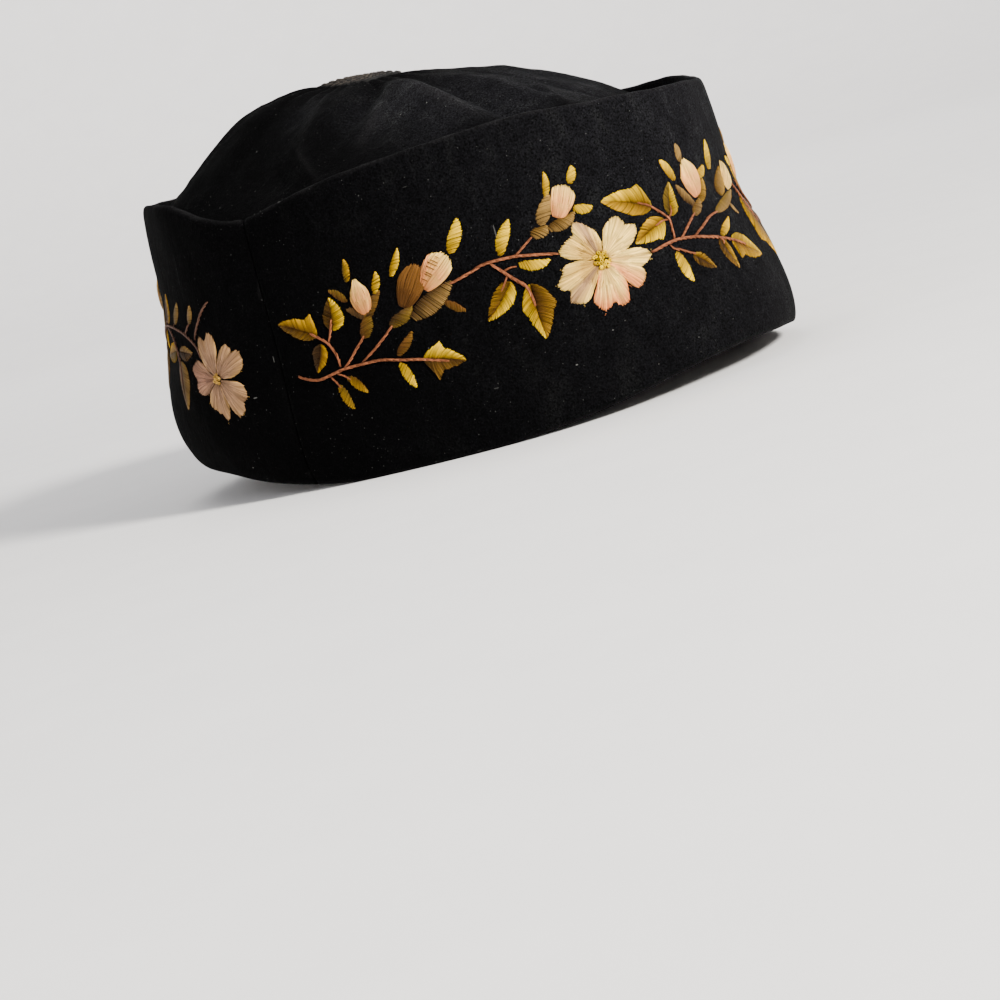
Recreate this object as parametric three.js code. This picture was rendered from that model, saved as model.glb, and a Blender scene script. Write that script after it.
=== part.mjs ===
// A soft velvet smoking cap: an upright band of two pieces, a puffed crown sewn inside the
// band's turned-over top edge, and a flat ribbed button on the crown.
// Millimetres, +Z up. The cap's front faces -Y, the wearer's right side is -X, and the rim
// rests on z = 0. An azimuth runs from 0 at the front, through 90 at the wearer's right side,
// to 180 at the back; negative azimuths are on the wearer's left side.

import * as THREE from 'three';

// Driving dimensions of the band
const capLength = 198;        // front to back, outside, at the widest height
const capWidth = 162;         // side to side, outside, at the widest height
const bandHeight = 84;        // near the side seams, where the rim touches the table
const bandWall = 3;           // two thicknesses of velvet and their padding
const bandLean = 10;          // how far the front and back of the band lean inwards at the top
const rimRise = 11;           // how far the back of the rim stands off the table
const topRise = 9;            // how far the band's top edge stands higher at the back
const edgeRound = 1.3;        // radius of the turned-over top edge
const rimRound = 0.6;         // radius of the rim's folded edge

// Driving dimensions of the two side seams, where the band's pieces meet
const seamAzimuth = 104.7;
const seamGap = 0.3;
const seamCrease = 1.1;       // how deep the velvet dips into the seam
const seamCreaseWidth = 7;    // how far from the seam the dip begins

// Driving dimensions of the crown
const crownWall = 2;
const crownRise = 26;         // the crown's centre above the top edge at the sides
const crownOffset = 14;       // how far the crown's centre lies behind the middle
const crownSeamDepth = 12;    // the crown's seam below the top edge, at its deepest
const crownSkirt = 9;         // height of the crown's edge inside the band, below the seam
const crownPuff = 5;          // how far the back of the crown puffs up behind the button
const puffReach = 0.71;       // share of the way to the seam where the puff ends
const foldHeight = 5;         // height of the deepest fold in the crown
const crownGap = 0.3;         // between the crown and the band

// Driving dimensions of the button
const buttonDiameter = 27.5;
const buttonThickness = 3.2;
const buttonRibs = 60;
const buttonRibDepth = 0.4;
const buttonEdge = 0.28;      // thickness left at the button's edge, as a share
const buttonTuck = 0.96;      // width of the button's underside, as a share
const buttonGap = 0.3;        // between the button and the crown

// Forms of the outline seen from above
const sectionPower = 2.2;     // 2 is an ellipse, more is squarer
const eggShare = 0.02;        // how much broader the back half is than the front half
const endFade = 1.5;          // how fast the front's and back's forms fade into the side's

// Fineness of the facets
const bandSteps = 112;        // columns round the whole band
const crownSteps = 96;
const crownRings = 13;
const buttonRings = 4;

const degree = Math.PI / 180;

// The band's inward lean, as a share of bandLean; height is a share of the band's height
const BAND_PROFILE = [
  { height: 0.00, front: 0.10, side: 0.05, back: 0.50 },
  { height: 0.05, front: 0.03, side: 0.00, back: 0.26 },
  { height: 0.11, front: 0.00, side: 0.00, back: 0.08 },
  { height: 0.20, front: 0.08, side: 0.00, back: 0.00 },
  { height: 0.30, front: 0.26, side: 0.02, back: 0.12 },
  { height: 0.40, front: 0.47, side: 0.05, back: 0.37 },
  { height: 0.50, front: 0.71, side: 0.08, back: 0.56 },
  { height: 0.60, front: 0.87, side: 0.12, back: 0.74 },
  { height: 0.75, front: 0.87, side: 0.18, back: 0.80 },
  { height: 0.88, front: 0.93, side: 0.22, back: 0.90 },
  { height: 1.00, front: 1.02, side: 0.26, back: 1.05 },
];

// The wavy lines of the rim and the top edge, as shares of rimRise and of topRise
const BAND_EDGES = [
  { azimuth: -180, rim: 1.00, top: 1.00 },
  { azimuth: -150, rim: 0.96, top: 0.98 },
  { azimuth: -132, rim: 0.76, top: 0.84 },
  { azimuth: -118, rim: 0.40, top: 0.20 },
  { azimuth: -105, rim: 0.10, top: -0.30 },
  { azimuth: -95, rim: 0.00, top: -0.05 },
  { azimuth: -80, rim: 0.00, top: 0.25 },
  { azimuth: -65, rim: 0.00, top: 0.30 },
  { azimuth: -45, rim: 0.10, top: 0.25 },
  { azimuth: -20, rim: 0.32, top: -0.05 },
  { azimuth: 0, rim: 0.55, top: -0.04 },
  { azimuth: 20, rim: 0.66, top: 0.05 },
  { azimuth: 35, rim: 0.53, top: 0.17 },
  { azimuth: 50, rim: 0.28, top: 0.36 },
  { azimuth: 61, rim: 0.11, top: 0.42 },
  { azimuth: 72, rim: 0.00, top: 0.33 },
  { azimuth: 84, rim: 0.00, top: 0.24 },
  { azimuth: 95, rim: 0.00, top: -0.05 },
  { azimuth: 105, rim: 0.16, top: -0.36 },
  { azimuth: 115, rim: 0.40, top: 0.05 },
  { azimuth: 130, rim: 0.79, top: 0.80 },
  { azimuth: 150, rim: 0.98, top: 0.98 },
  { azimuth: 180, rim: 1.00, top: 1.00 },
];

// How the crown runs down to the band: depth of its seam as a share of crownSeamDepth, the
// power of its curve (more is rounder) and the puff as a share of crownPuff
const CROWN_SIDES = [
  { azimuth: 0, seam: 1.00, power: 1.65, puff: 0.40 },
  { azimuth: 50, seam: 0.80, power: 1.65, puff: 0.40 },
  { azimuth: 90, seam: 0.60, power: 2.00, puff: 0.55 },
  { azimuth: 130, seam: 0.55, power: 2.45, puff: 0.80 },
  { azimuth: 180, seam: 0.55, power: 2.80, puff: 0.95 },
];

// Folds that run out from the button. The lift is a share of foldHeight, below zero for a
// valley; a fold shows from one share of the way to the seam to another, and turns on its way.
const CROWN_FOLDS = [
  { azimuth: 5, turn: 0, spread: 9, lift: -0.20, from: 0.35, to: 0.95 },
  { azimuth: 22, turn: 6, spread: 8, lift: 0.35, from: 0.35, to: 1.00 },
  { azimuth: 44, turn: 0, spread: 9, lift: -0.60, from: 0.30, to: 1.00 },
  { azimuth: 63, turn: -12, spread: 10, lift: 0.75, from: 0.25, to: 1.00 },
  { azimuth: 66, turn: 26, spread: 8, lift: -0.80, from: 0.18, to: 0.95 },
  { azimuth: 94, turn: 0, spread: 7, lift: 0.50, from: 0.40, to: 0.98 },
  { azimuth: 112, turn: 0, spread: 11, lift: -0.70, from: 0.30, to: 1.00 },
  { azimuth: 137, turn: 0, spread: 13, lift: 0.30, from: 0.25, to: 0.98 },
  { azimuth: -172, turn: 0, spread: 10, lift: -0.40, from: 0.20, to: 0.90 },
  { azimuth: -143, turn: 6, spread: 15, lift: 0.30, from: 0.25, to: 0.95 },
  { azimuth: -116, turn: -8, spread: 9, lift: -0.65, from: 0.20, to: 0.95 },
  { azimuth: -88, turn: 8, spread: 12, lift: 0.55, from: 0.25, to: 0.98 },
  { azimuth: -58, turn: -6, spread: 9, lift: -0.60, from: 0.20, to: 0.95 },
  { azimuth: -32, turn: 0, spread: 12, lift: 0.25, from: 0.30, to: 0.95 },
];

// Outline of the band's wall, walked from the outer rim over the top edge to the inner rim.
// Height is a share of the band's height and depth a share of the wall. Tuck sets a point in
// from its face and sink lowers it, both as shares of the rim's or the top edge's rounding.
const WALL_SECTION = [
  { height: 0.00, depth: 0, tuck: 1.0, sink: 0.0 },
  { height: 0.05, depth: 0, tuck: 0.0, sink: 0.0 },
  { height: 0.12, depth: 0, tuck: 0.0, sink: 0.0 },
  { height: 0.21, depth: 0, tuck: 0.0, sink: 0.0 },
  { height: 0.31, depth: 0, tuck: 0.0, sink: 0.0 },
  { height: 0.41, depth: 0, tuck: 0.0, sink: 0.0 },
  { height: 0.51, depth: 0, tuck: 0.0, sink: 0.0 },
  { height: 0.62, depth: 0, tuck: 0.0, sink: 0.0 },
  { height: 0.77, depth: 0, tuck: 0.0, sink: 0.0 },
  { height: 0.90, depth: 0, tuck: 0.0, sink: 0.0 },
  { height: 1.00, depth: 0, tuck: 0.0, sink: 1.0 },
  { height: 1.00, depth: 0, tuck: 0.7, sink: 0.1 },
  { height: 1.00, depth: 1, tuck: 0.7, sink: 0.1 },
  { height: 1.00, depth: 1, tuck: 0.0, sink: 1.0 },
  { height: 0.77, depth: 1, tuck: 0.0, sink: 0.0 },
  { height: 0.51, depth: 1, tuck: 0.0, sink: 0.0 },
  { height: 0.31, depth: 1, tuck: 0.0, sink: 0.0 },
  { height: 0.12, depth: 1, tuck: 0.0, sink: 0.0 },
  { height: 0.00, depth: 1, tuck: 1.0, sink: 0.0 },
];

// Smooth value of one column of a table, by a cubic through its rows
function sample(table, key, column, at) {
  const last = table.length - 1;
  let row = 0;
  while (row < last - 1 && at > table[row + 1][key]) row += 1;
  const [a, b] = [table[row], table[row + 1]];
  const before = table[Math.max(row - 1, 0)];
  const after = table[Math.min(row + 2, last)];
  const width = b[key] - a[key];
  const slopeA = (b[column] - before[column]) / (b[key] - before[key]);
  const slopeB = (after[column] - a[column]) / (after[key] - a[key]);
  const t = THREE.MathUtils.clamp((at - a[key]) / width, 0, 1);
  const hold = 2 * t ** 3 - 3 * t ** 2 + 1;
  const reach = -2 * t ** 3 + 3 * t ** 2;
  const leave = (t ** 3 - 2 * t ** 2 + t) * width;
  const arrive = (t ** 3 - t ** 2) * width;
  return hold * a[column] + reach * b[column] + leave * slopeA + arrive * slopeB;
}

function wrapDegrees(azimuth) {
  return THREE.MathUtils.euclideanModulo(azimuth + 180, 360) - 180;
}

function signedPower(value, power) {
  return Math.sign(value) * Math.abs(value) ** power;
}

// Shares of the front, side and back profiles at one azimuth
function profileWeights(azimuth) {
  const ahead = Math.cos(azimuth * degree);
  const front = Math.max(ahead, 0) ** endFade;
  const back = Math.max(-ahead, 0) ** endFade;
  return { front, back, side: 1 - front - back };
}

function inwardLean(azimuth, height) {
  const weights = profileWeights(azimuth);
  let lean = 0;
  for (const place of ['front', 'side', 'back']) {
    lean += weights[place] * sample(BAND_PROFILE, 'height', place, height);
  }
  return lean * bandLean;
}

// Point in plan at an azimuth, set in from the widest outline
function planPoint(azimuth, inset) {
  const [s, c] = [Math.sin(azimuth * degree), Math.cos(azimuth * degree)];
  const x = -(capWidth / 2 - inset) * signedPower(s, 2 / sectionPower) * (1 - eggShare * c);
  const y = -(capLength / 2 - inset) * signedPower(c, 2 / sectionPower);
  return new THREE.Vector2(x, y);
}

function rimHeight(azimuth) {
  const rise = sample(BAND_EDGES, 'azimuth', 'rim', wrapDegrees(azimuth));
  return Math.max(rise, 0) * rimRise;
}

function topHeight(azimuth) {
  return bandHeight + sample(BAND_EDGES, 'azimuth', 'top', wrapDegrees(azimuth)) * topRise;
}

// Point of the band at a share of its height, set in from its outer face
function bandPoint(azimuth, height, inset) {
  const plan = planPoint(azimuth, inwardLean(azimuth, height) + inset);
  const z = THREE.MathUtils.lerp(rimHeight(azimuth), topHeight(azimuth), height);
  return new THREE.Vector3(plan.x, plan.y, z);
}

// How far the velvet dips at a distance along the band from the seam
function seamDip(fromSeam) {
  return seamCrease * Math.max(0, 1 - fromSeam / seamCreaseWidth) ** 2;
}

// One column of the band's wall, as points walked round its section
function wallColumn(azimuth, fromSeam) {
  const dip = seamDip(fromSeam);
  return WALL_SECTION.map(({ height, depth, tuck, sink }) => {
    const rounding = Math.min(height === 0 ? rimRound : edgeRound, bandWall / 2);
    const tucked = tuck * rounding;
    const inset = depth === 0 ? dip + tucked : bandWall - tucked;
    const point = bandPoint(azimuth, height, inset);
    point.z -= sink * rounding;
    return point;
  });
}

// Closed body from columns of points, each a closed outline, with its two ends filled
function lofted(columns) {
  const around = columns[0].length;
  const positions = columns.flat().flatMap((p) => [p.x, p.y, p.z]);
  const faces = [];
  for (let i = 0; i < columns.length - 1; i += 1) {
    for (let j = 0; j < around; j += 1) {
      const k = (j + 1) % around;
      const [a, b] = [i * around + j, i * around + k];
      const [c, d] = [a + around, b + around];
      faces.push(a, b, c, b, d, c);
    }
  }
  const last = (columns.length - 1) * around;
  for (let j = 0; j < around / 2 - 1; j += 1) {
    const [a, b, c, d] = [j, j + 1, around - 1 - j, around - 2 - j];
    faces.push(a, c, b);
    faces.push(last + a, last + b, last + c);
    if (b !== d) {
      faces.push(b, c, d);
      faces.push(last + b, last + d, last + c);
    }
  }
  return closedGeometry(positions, faces);
}

function closedGeometry(positions, faces) {
  const geometry = new THREE.BufferGeometry();
  geometry.setAttribute('position', new THREE.Float32BufferAttribute(positions, 3));
  geometry.setIndex(faces);
  geometry.computeVertexNormals();
  return geometry;
}

// Band piece between two azimuths, kept half a seam gap clear of each
function bandPiece(from, to) {
  const radius = (capLength + capWidth) / 4;
  const margin = seamGap / 2 / radius / degree;
  const span = to - from - 2 * margin;
  const steps = Math.round(bandSteps * span / 360);
  const columns = [];
  for (let i = 0; i <= steps; i += 1) {
    const ease = i / steps;
    const azimuth = from + margin + span * ease;
    const fromSeam = Math.min(azimuth - from, to - azimuth) * degree * radius;
    columns.push(wallColumn(azimuth, fromSeam));
  }
  return lofted(columns);
}

// Raised or sunken fold at a place on the crown
function foldLift(azimuth, out) {
  let lift = 0;
  for (const fold of CROWN_FOLDS) {
    const along = (out - fold.from) / (fold.to - fold.from);
    const turn = wrapDegrees(azimuth - fold.azimuth - fold.turn * along) / fold.spread;
    if (along > 0 && along < 1) {
      lift += fold.lift * Math.exp(-turn * turn) * Math.sin(Math.PI * along);
    }
  }
  return lift * foldHeight;
}

function puffForm(out) {
  return Math.sin(Math.PI * Math.min(out / puffReach, 1));
}

function crownSide(azimuth, column) {
  return sample(CROWN_SIDES, 'azimuth', column, Math.abs(wrapDegrees(azimuth)));
}

// Height of the crown's seam as a share of the band's height
function seamShare(azimuth) {
  const depth = crownSide(azimuth, 'seam') * crownSeamDepth;
  return 1 - depth / (topHeight(azimuth) - rimHeight(azimuth));
}

// Point of the crown at a share of the way from its centre to its seam
function crownPoint(azimuth, out, inset) {
  const edge = bandPoint(azimuth, 1, bandWall + crownGap + inset);
  const seam = bandPoint(azimuth, seamShare(azimuth), 0);
  const top = bandHeight + crownRise - inset;
  const drop = out ** crownSide(azimuth, 'power');
  const puff = crownPuff * crownSide(azimuth, 'puff') * puffForm(out);
  const z = THREE.MathUtils.lerp(top, seam.z, drop) + puff + foldLift(azimuth, out);
  return new THREE.Vector3(edge.x * out, THREE.MathUtils.lerp(crownOffset, edge.y, out), z);
}

// Point of the crown's edge inside the band, at a share of the way down the skirt
function skirtPoint(azimuth, down, inset) {
  const depth = down * crownSkirt / (topHeight(azimuth) - rimHeight(azimuth));
  return bandPoint(azimuth, seamShare(azimuth) - depth, bandWall + crownGap + inset);
}

// Closed shell from rings of points: a centre point at each end and rings between them
function ringed(firstCentre, rings, lastCentre) {
  const count = rings[0].length;
  const positions = [firstCentre, ...rings.flat(), lastCentre].flatMap((p) => [p.x, p.y, p.z]);
  const last = rings.length * count + 1;
  const faces = [];
  const at = (ring, j) => 1 + ring * count + (j % count);
  for (let j = 0; j < count; j += 1) {
    faces.push(0, at(0, j + 1), at(0, j));
    for (let i = 0; i < rings.length - 1; i += 1) {
      faces.push(at(i, j), at(i, j + 1), at(i + 1, j));
      faces.push(at(i, j + 1), at(i + 1, j + 1), at(i + 1, j));
    }
    faces.push(last, at(rings.length - 1, j), at(rings.length - 1, j + 1));
  }
  return closedGeometry(positions, faces);
}

function ringOf(steps, pointAt) {
  return Array.from({ length: steps }, (_, j) => pointAt(j * 360 / steps));
}

function crownShell() {
  const shares = Array.from({ length: crownRings }, (_, i) => Math.sin(
    (i + 1) / crownRings * Math.PI / 2));
  const outer = shares.map((out) => ringOf(crownSteps, (a) => crownPoint(a, out, 0)));
  const skirtOuter = ringOf(crownSteps, (a) => skirtPoint(a, 1, 0));
  const skirtInner = ringOf(crownSteps, (a) => skirtPoint(a, 1, crownWall));
  const inner = shares.map((out) => ringOf(crownSteps, (a) => crownPoint(a, out, crownWall)));
  const rings = [...outer, skirtOuter, skirtInner, ...inner.reverse()];
  return ringed(crownPoint(0, 0, 0), rings, crownPoint(0, 0, crownWall));
}

// Share of the way to the crown's seam at a distance from its centre
function crownShare(azimuth, radius) {
  const edge = crownPoint(azimuth, 1, 0);
  return radius / Math.hypot(edge.x, edge.y - crownOffset);
}

// Point on the crown at a direction and distance from its centre, lifted off it
function aboveCrown(azimuth, radius, lift) {
  const point = crownPoint(azimuth, crownShare(azimuth, radius), 0);
  point.z += lift;
  return point;
}

function ribbedButton() {
  const radius = buttonDiameter / 2;
  const steps = buttonRibs * 2;
  const ring = (share, height) => ringOf(steps, (a) => {
    const onRib = Math.round(a * steps / 360) % 2 === 0;
    const rib = onRib ? 0 : buttonRibDepth * share;
    return aboveCrown(a, radius * share, buttonGap + height - rib);
  });
  const flat = (share) => ringOf(steps, (a) => aboveCrown(a, radius * share, buttonGap));
  const top = [];
  for (let i = 1; i <= buttonRings; i += 1) {
    const share = Math.sin(i / buttonRings * Math.PI / 2);
    const height = buttonThickness * Math.sqrt(1 - (1 - buttonEdge ** 2) * share ** 2);
    top.push(ring(share, height));
  }
  const under = [flat(buttonTuck), flat(buttonTuck / 2)];
  return ringed(
    aboveCrown(0, 0, buttonGap + buttonThickness),
    [...top, ...under],
    aboveCrown(0, 0, buttonGap),
  );
}

function velvet() {
  return new THREE.MeshStandardMaterial({ color: 0x0b0b12, roughness: 0.95, metalness: 0 });
}

function braid() {
  return new THREE.MeshStandardMaterial({ color: 0x2a2420, roughness: 0.7, metalness: 0 });
}

function piece(name, geometry, material) {
  const mesh = new THREE.Mesh(geometry, material);
  mesh.name = name;
  return mesh;
}

const cap = new THREE.Group();
cap.add(piece('band_front', bandPiece(-seamAzimuth, seamAzimuth), velvet()));
cap.add(piece('band_back', bandPiece(seamAzimuth, 360 - seamAzimuth), velvet()));
cap.add(piece('crown', crownShell(), velvet()));
cap.add(piece('crown_button', ribbedButton(), braid()));

export default cap;
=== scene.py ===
# A soft velvet smoking cap with silk embroidery, standing on its rim on a pale floor.
# Metres in the cap's own frame: +Z up, its front faces -Y, the wearer's right side is -X.
# The embroidery is drawn flat, in millimetres: "along" runs round the band from the front
# centre towards the wearer's right, and "up" is the height above the floor.

import math

import bpy
import numpy as np
from mathutils import Matrix, Vector
from mathutils.bvhtree import BVHTree


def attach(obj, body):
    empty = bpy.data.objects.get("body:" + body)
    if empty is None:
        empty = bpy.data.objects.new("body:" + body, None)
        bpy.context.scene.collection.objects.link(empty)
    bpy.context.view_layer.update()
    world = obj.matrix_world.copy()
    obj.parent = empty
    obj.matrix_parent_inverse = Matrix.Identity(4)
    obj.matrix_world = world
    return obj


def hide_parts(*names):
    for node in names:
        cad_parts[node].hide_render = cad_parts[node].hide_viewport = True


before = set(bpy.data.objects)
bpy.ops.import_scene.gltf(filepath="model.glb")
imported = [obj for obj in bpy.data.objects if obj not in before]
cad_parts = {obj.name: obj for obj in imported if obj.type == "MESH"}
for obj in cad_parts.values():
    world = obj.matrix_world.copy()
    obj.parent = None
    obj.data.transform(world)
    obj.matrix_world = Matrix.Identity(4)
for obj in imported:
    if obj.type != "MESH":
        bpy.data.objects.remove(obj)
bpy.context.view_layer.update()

MM = 0.001
SEED = 7
FULL_TURN = 2 * math.pi

# Camera: where it stands, what it looks at, and how far the picture is turned
CAMERA_PLACE = (-0.6678, -0.2973, 0.0833)
CAMERA_AIM = (-0.0095, 0.0037, -0.0254)
CAMERA_ROLL = 16.26
CAMERA_LENS = 84.0

# Each light: name, place, aim, size, power and colour
LIGHTS = [
    ("window_light", (-0.50, -1.30, 0.80), (0, 0, 0.06), 0.35, 66, (1.0, 0.97, 0.91)),
    ("fill_light", (-1.2, 0.5, 0.8), (0, 0, 0.05), 0.9, 3, (0.93, 0.95, 1.0)),
    ("top_light", (0.3, 0.3, 1.4), (0, 0, 0.08), 0.8, 9, (1.0, 0.99, 0.97)),
    ("wall_light", (0.9, 0.4, 1.3), (2.1, 0.9, 0.35), 1.0, 22, (1.0, 0.98, 0.96)),
]
AIR_COLOUR = (0.93, 0.95, 1.0, 1)
AIR_STRENGTH = 0.50

# The pale dish that the cap stands in: radius and height of its flat floor, then of each
# ring of its rising edge
FLOOR_RINGS = [(1.50, 0.00), (1.75, 0.03), (1.95, 0.12), (2.10, 0.30), (2.17, 0.55), (2.20, 0.90)]

# The band: degrees from the front to each side seam, millimetres round it for a degree, how
# high its lining reaches, and how far its soft rim gives way under it
SEAM_TURN = 104.7
SEAM_MM_PER_DEGREE = 1.5
FACING_TOP = 68
RIM_SINK = 0.28

# Centre of the crown in plan, where its folds meet under the button
CROWN_CENTRE = (0.0, 14.0)

# The button: its base, its cord's own radius and three plies, and how the cord is wound,
# domed, sunk into the crown, and tucked under at its end
BUTTON_RADIUS = 13.75
BASE_INSET, BASE_THICKNESS, BASE_ROUNDING, BASE_SINK = 0.9, 1.6, 0.5, 0.4
CORD_RADIUS = 1.25
PLIES, PLY_RADIUS, PLY_OFFSET, PLY_SIDES = 3, 0.62, 0.72, 7
COIL_START, COIL_TURNS, COIL_STEPS, TWIST_LENGTH = 0.9, 5, 460, 4.2
COIL_DOME, COIL_SINK, COIL_FOLLOWS, COIL_LOWEST = 2.0, 1.8, 0.9, 2.5
TUCK_FROM, TUCK_DEPTH = 0.985, 1.6

# Silk thread: how thick it is, how close its stitches lie, and how each one is drawn
THREAD_RADIUS = 0.21
THREAD_STEP = 0.40
STITCH_STEPS = np.array([0.0, 0.14, 0.38, 0.62, 0.86, 1.0])
STITCH_TAPER = np.array([0.55, 0.95, 1.0, 1.0, 0.95, 0.55])
STEM_ADVANCE, STEM_STITCH = 1.9, 3.9
BAR_STEP, TICK_STEP, TICK_THINNER, TICK_LIFT = 0.52, 1.15, 0.55, 0.9
KNOT_SPIRAL, KNOT_TURNS, KNOT_SIZE = 2.39996, 1.55, 0.40
KNOT_RADIUS, KNOT_TIP_RADIUS = 0.25, 0.15
SHADOWED_SHARE, SHADOW = 0.09, 0.50

# Heights between which the band's outer face is measured for the embroidery
CHART_LOW, CHART_HIGH = 8, 84
CHART_TURNS = 720
CHART_LEVEL = 45

# Painted light on the pile round the band, at degrees from the front towards either side: lighter
# at the front, darker towards the sides and back
PILE_TURNS = (0, 20, 45, 75, 100, 180)
PILE_PAINTED_LIGHT = (0.98, 0.90, 0.60, 0.34, 0.18, 0.20)

# Specks on the velvet, dust and two ways of fibres: how they are turned and squeezed, how
# many to a metre, how large, what share of them is missing, and their colour
SPECKS = [
    ((0.0, 0.0, 0.0), (1, 1, 1), 820, 0.15, 0.45, (0.052, 0.052, 0.050, 1)),
    ((0.5, 0.4, 0.2), (1, 1, 0.07), 520, 0.11, 0.84, (0.10, 0.10, 0.095, 1)),
    ((-0.4, 1.1, 0.6), (1, 0.07, 1), 480, 0.11, 0.85, (0.10, 0.10, 0.095, 1)),
]

# Ridges and creases in the crown, drawn in plan from the button outwards. Each row: start,
# bend, end, height (below zero for a crease), and how far its left and right side reach.
CROWN_PLEATS = [
    ((-48, 17.5), (-57.5, 11.7), (-69, 1.5), 1.3, 1.9, 1.0),
    ((-51, 24), (-57, 20.5), (-67, 13), -1.2, 2.0, 4.0),
    ((-18, -1), (-36, 0.5), (-56, 6), -2.6, 3.4, 2.2),
    ((-22, -5), (-41, -6), (-56, -3), 1.6, 4.5, 3.0),
    ((-30, -15), (-40, -29), (-48, -46), 1.8, 1.7, 5.0),
    ((-22, -20), (-30, -36), (-39, -54), -2.4, 3.6, 3.4),
    ((3, -38), (-12, -50), (-29, -62), 1.5, 2.6, 2.2),
    ((-9, -34), (-16, -55), (-23, -76), -1.4, 2.6, 3.0),
    ((3, -14), (4, -40), (3, -74), -1.3, 3.4, 3.4),
    ((12, -12), (22, -36), (30, -66), 1.5, 2.6, 4.4),
    ((18, -8), (37, -28), (53, -48), -2.3, 3.4, 2.8),
    ((22, 2), (43, -8), (66, -18), 1.7, 2.6, 5.0),
    ((22, 12), (46, 10), (70, 4), -2.0, 3.6, 3.0),
    ((20, 26), (44, 36), (62, 40), -2.4, 4.0, 2.8),
    ((12, 32), (28, 52), (40, 68), 1.5, 3.4, 3.4),
    ((0, 34), (2, 54), (-3, 78), -2.0, 4.0, 4.0),
    ((-12, 33), (-27, 50), (-42, 64), 1.3, 2.4, 4.6),
    ((-20, 27), (-39, 38), (-54, 47), -1.8, 4.0, 3.0),
]

# Silk shades: their family, the shadow at a stitch's root, and its lit end
SILKS = {
    "bright": ("gold", (0.130, 0.060, 0.003), (0.97, 0.62, 0.003)),
    "gold": ("gold", (0.060, 0.025, 0.004), (0.60, 0.325, 0.005)),
    "aged": ("gold", (0.030, 0.012, 0.004), (0.27, 0.140, 0.010)),
    "amber": ("gold", (0.026, 0.012, 0.004), (0.155, 0.078, 0.012)),
    "umber": ("brown", (0.045, 0.018, 0.006), (0.170, 0.073, 0.016)),
    "olive": ("brown", (0.042, 0.024, 0.005), (0.18, 0.110, 0.014)),
    "brown": ("brown", (0.020, 0.010, 0.005), (0.110, 0.058, 0.020)),
    "tan": ("brown", (0.075, 0.042, 0.014), (0.34, 0.200, 0.055)),
    "pink": ("rose", (0.52, 0.165, 0.055), (0.86, 0.37, 0.125)),
    "blush": ("rose", (0.84, 0.40, 0.14), (0.68, 0.145, 0.052)),
    "cream": ("rose", (0.50, 0.28, 0.075), (0.90, 0.62, 0.155)),
    "beige": ("rose", (0.20, 0.105, 0.026), (0.70, 0.41, 0.080)),
    "dusty": ("rose", (0.075, 0.042, 0.028), (0.45, 0.255, 0.140)),
    "mauve": ("rose", (0.090, 0.040, 0.028), (0.40, 0.195, 0.120)),
    "plum": ("stem", (0.040, 0.019, 0.014), (0.24, 0.118, 0.075)),
    "madder": ("stem", (0.050, 0.018, 0.010), (0.44, 0.150, 0.065)),
}
SHINE = {"gold": 0.26, "brown": 0.16, "rose": 0.20, "stem": 0.18}

# Leaves with a midrib. Each row: base, tip, bow, how far it reaches back past its base, then
# the width, the extra reach of the side point and the silk of its right half and of its left
# half, seen from outside, and where along it the side points stand.
SIDE_LEAVES = [
    ((149.9, 44.4), (161.6, 49.2), 0.3, 0.12, 3.3, 2.4, "gold", 2.9, 0.0, "aged", 0.26),
    ((143.1, 45.0), (142.1, 53.1), 0.1, 0.16, 4.0, 0.0, "bright", 3.0, 0.0, "amber", 0.4),
    ((148.4, 40.6), (151.8, 33.4), -0.3, 0.05, 2.7, 0.0, "brown", 2.4, 0.0, "gold", 0.4),
    ((119.4, 29.7), (107.6, 26.4), -0.3, -0.02, 3.4, 2.8, "amber", 3.2, 1.8, "bright", 0.38),
    ((90.2, 43.4), (98.7, 35.2), -0.4, 0.06, 3.0, 0.0, "aged", 3.2, 0.0, "bright", 0.4),
    ((84.9, 41.4), (84.9, 26.2), 0.3, 0.02, 3.2, 0.7, "bright", 5.2, 1.0, "aged", 0.44),
    ((42.6, 52.8), (57.7, 57.8), 0.4, 0.05, 4.0, 1.8, "bright", 3.8, 0.0, "gold", 0.32),
    ((39.8, 47.7), (51.9, 43.8), 0.3, 0.00, 3.0, 0.0, "gold", 3.4, 1.0, "bright", 0.35),
    ((36.1, 48.6), (32.2, 57.3), -0.3, 0.06, 3.4, 0.0, "bright", 2.3, 0.0, "olive", 0.4),
    ((35.0, 35.6), (28.9, 30.3), 0.0, 0.04, 2.1, 0.0, "amber", 2.2, 0.0, "gold", 0.4),
]
FRONT_LEAVES = [
    ((21.3, 37.4), (19.4, 27.8), 0.2, 0.00, 2.5, 0.0, "amber", 2.4, 0.0, "gold", 0.4),
    ((15.6, 35.6), (1.8, 28.8), 0.4, 0.04, 3.4, 2.2, "gold", 4.2, 0.0, "bright", 0.22),
    ((-9.0, 45.4), (-17.6, 25.8), 0.6, 0.02, 6.4, 2.4, "gold", 5.6, 0.0, "amber", 0.50),
]
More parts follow.
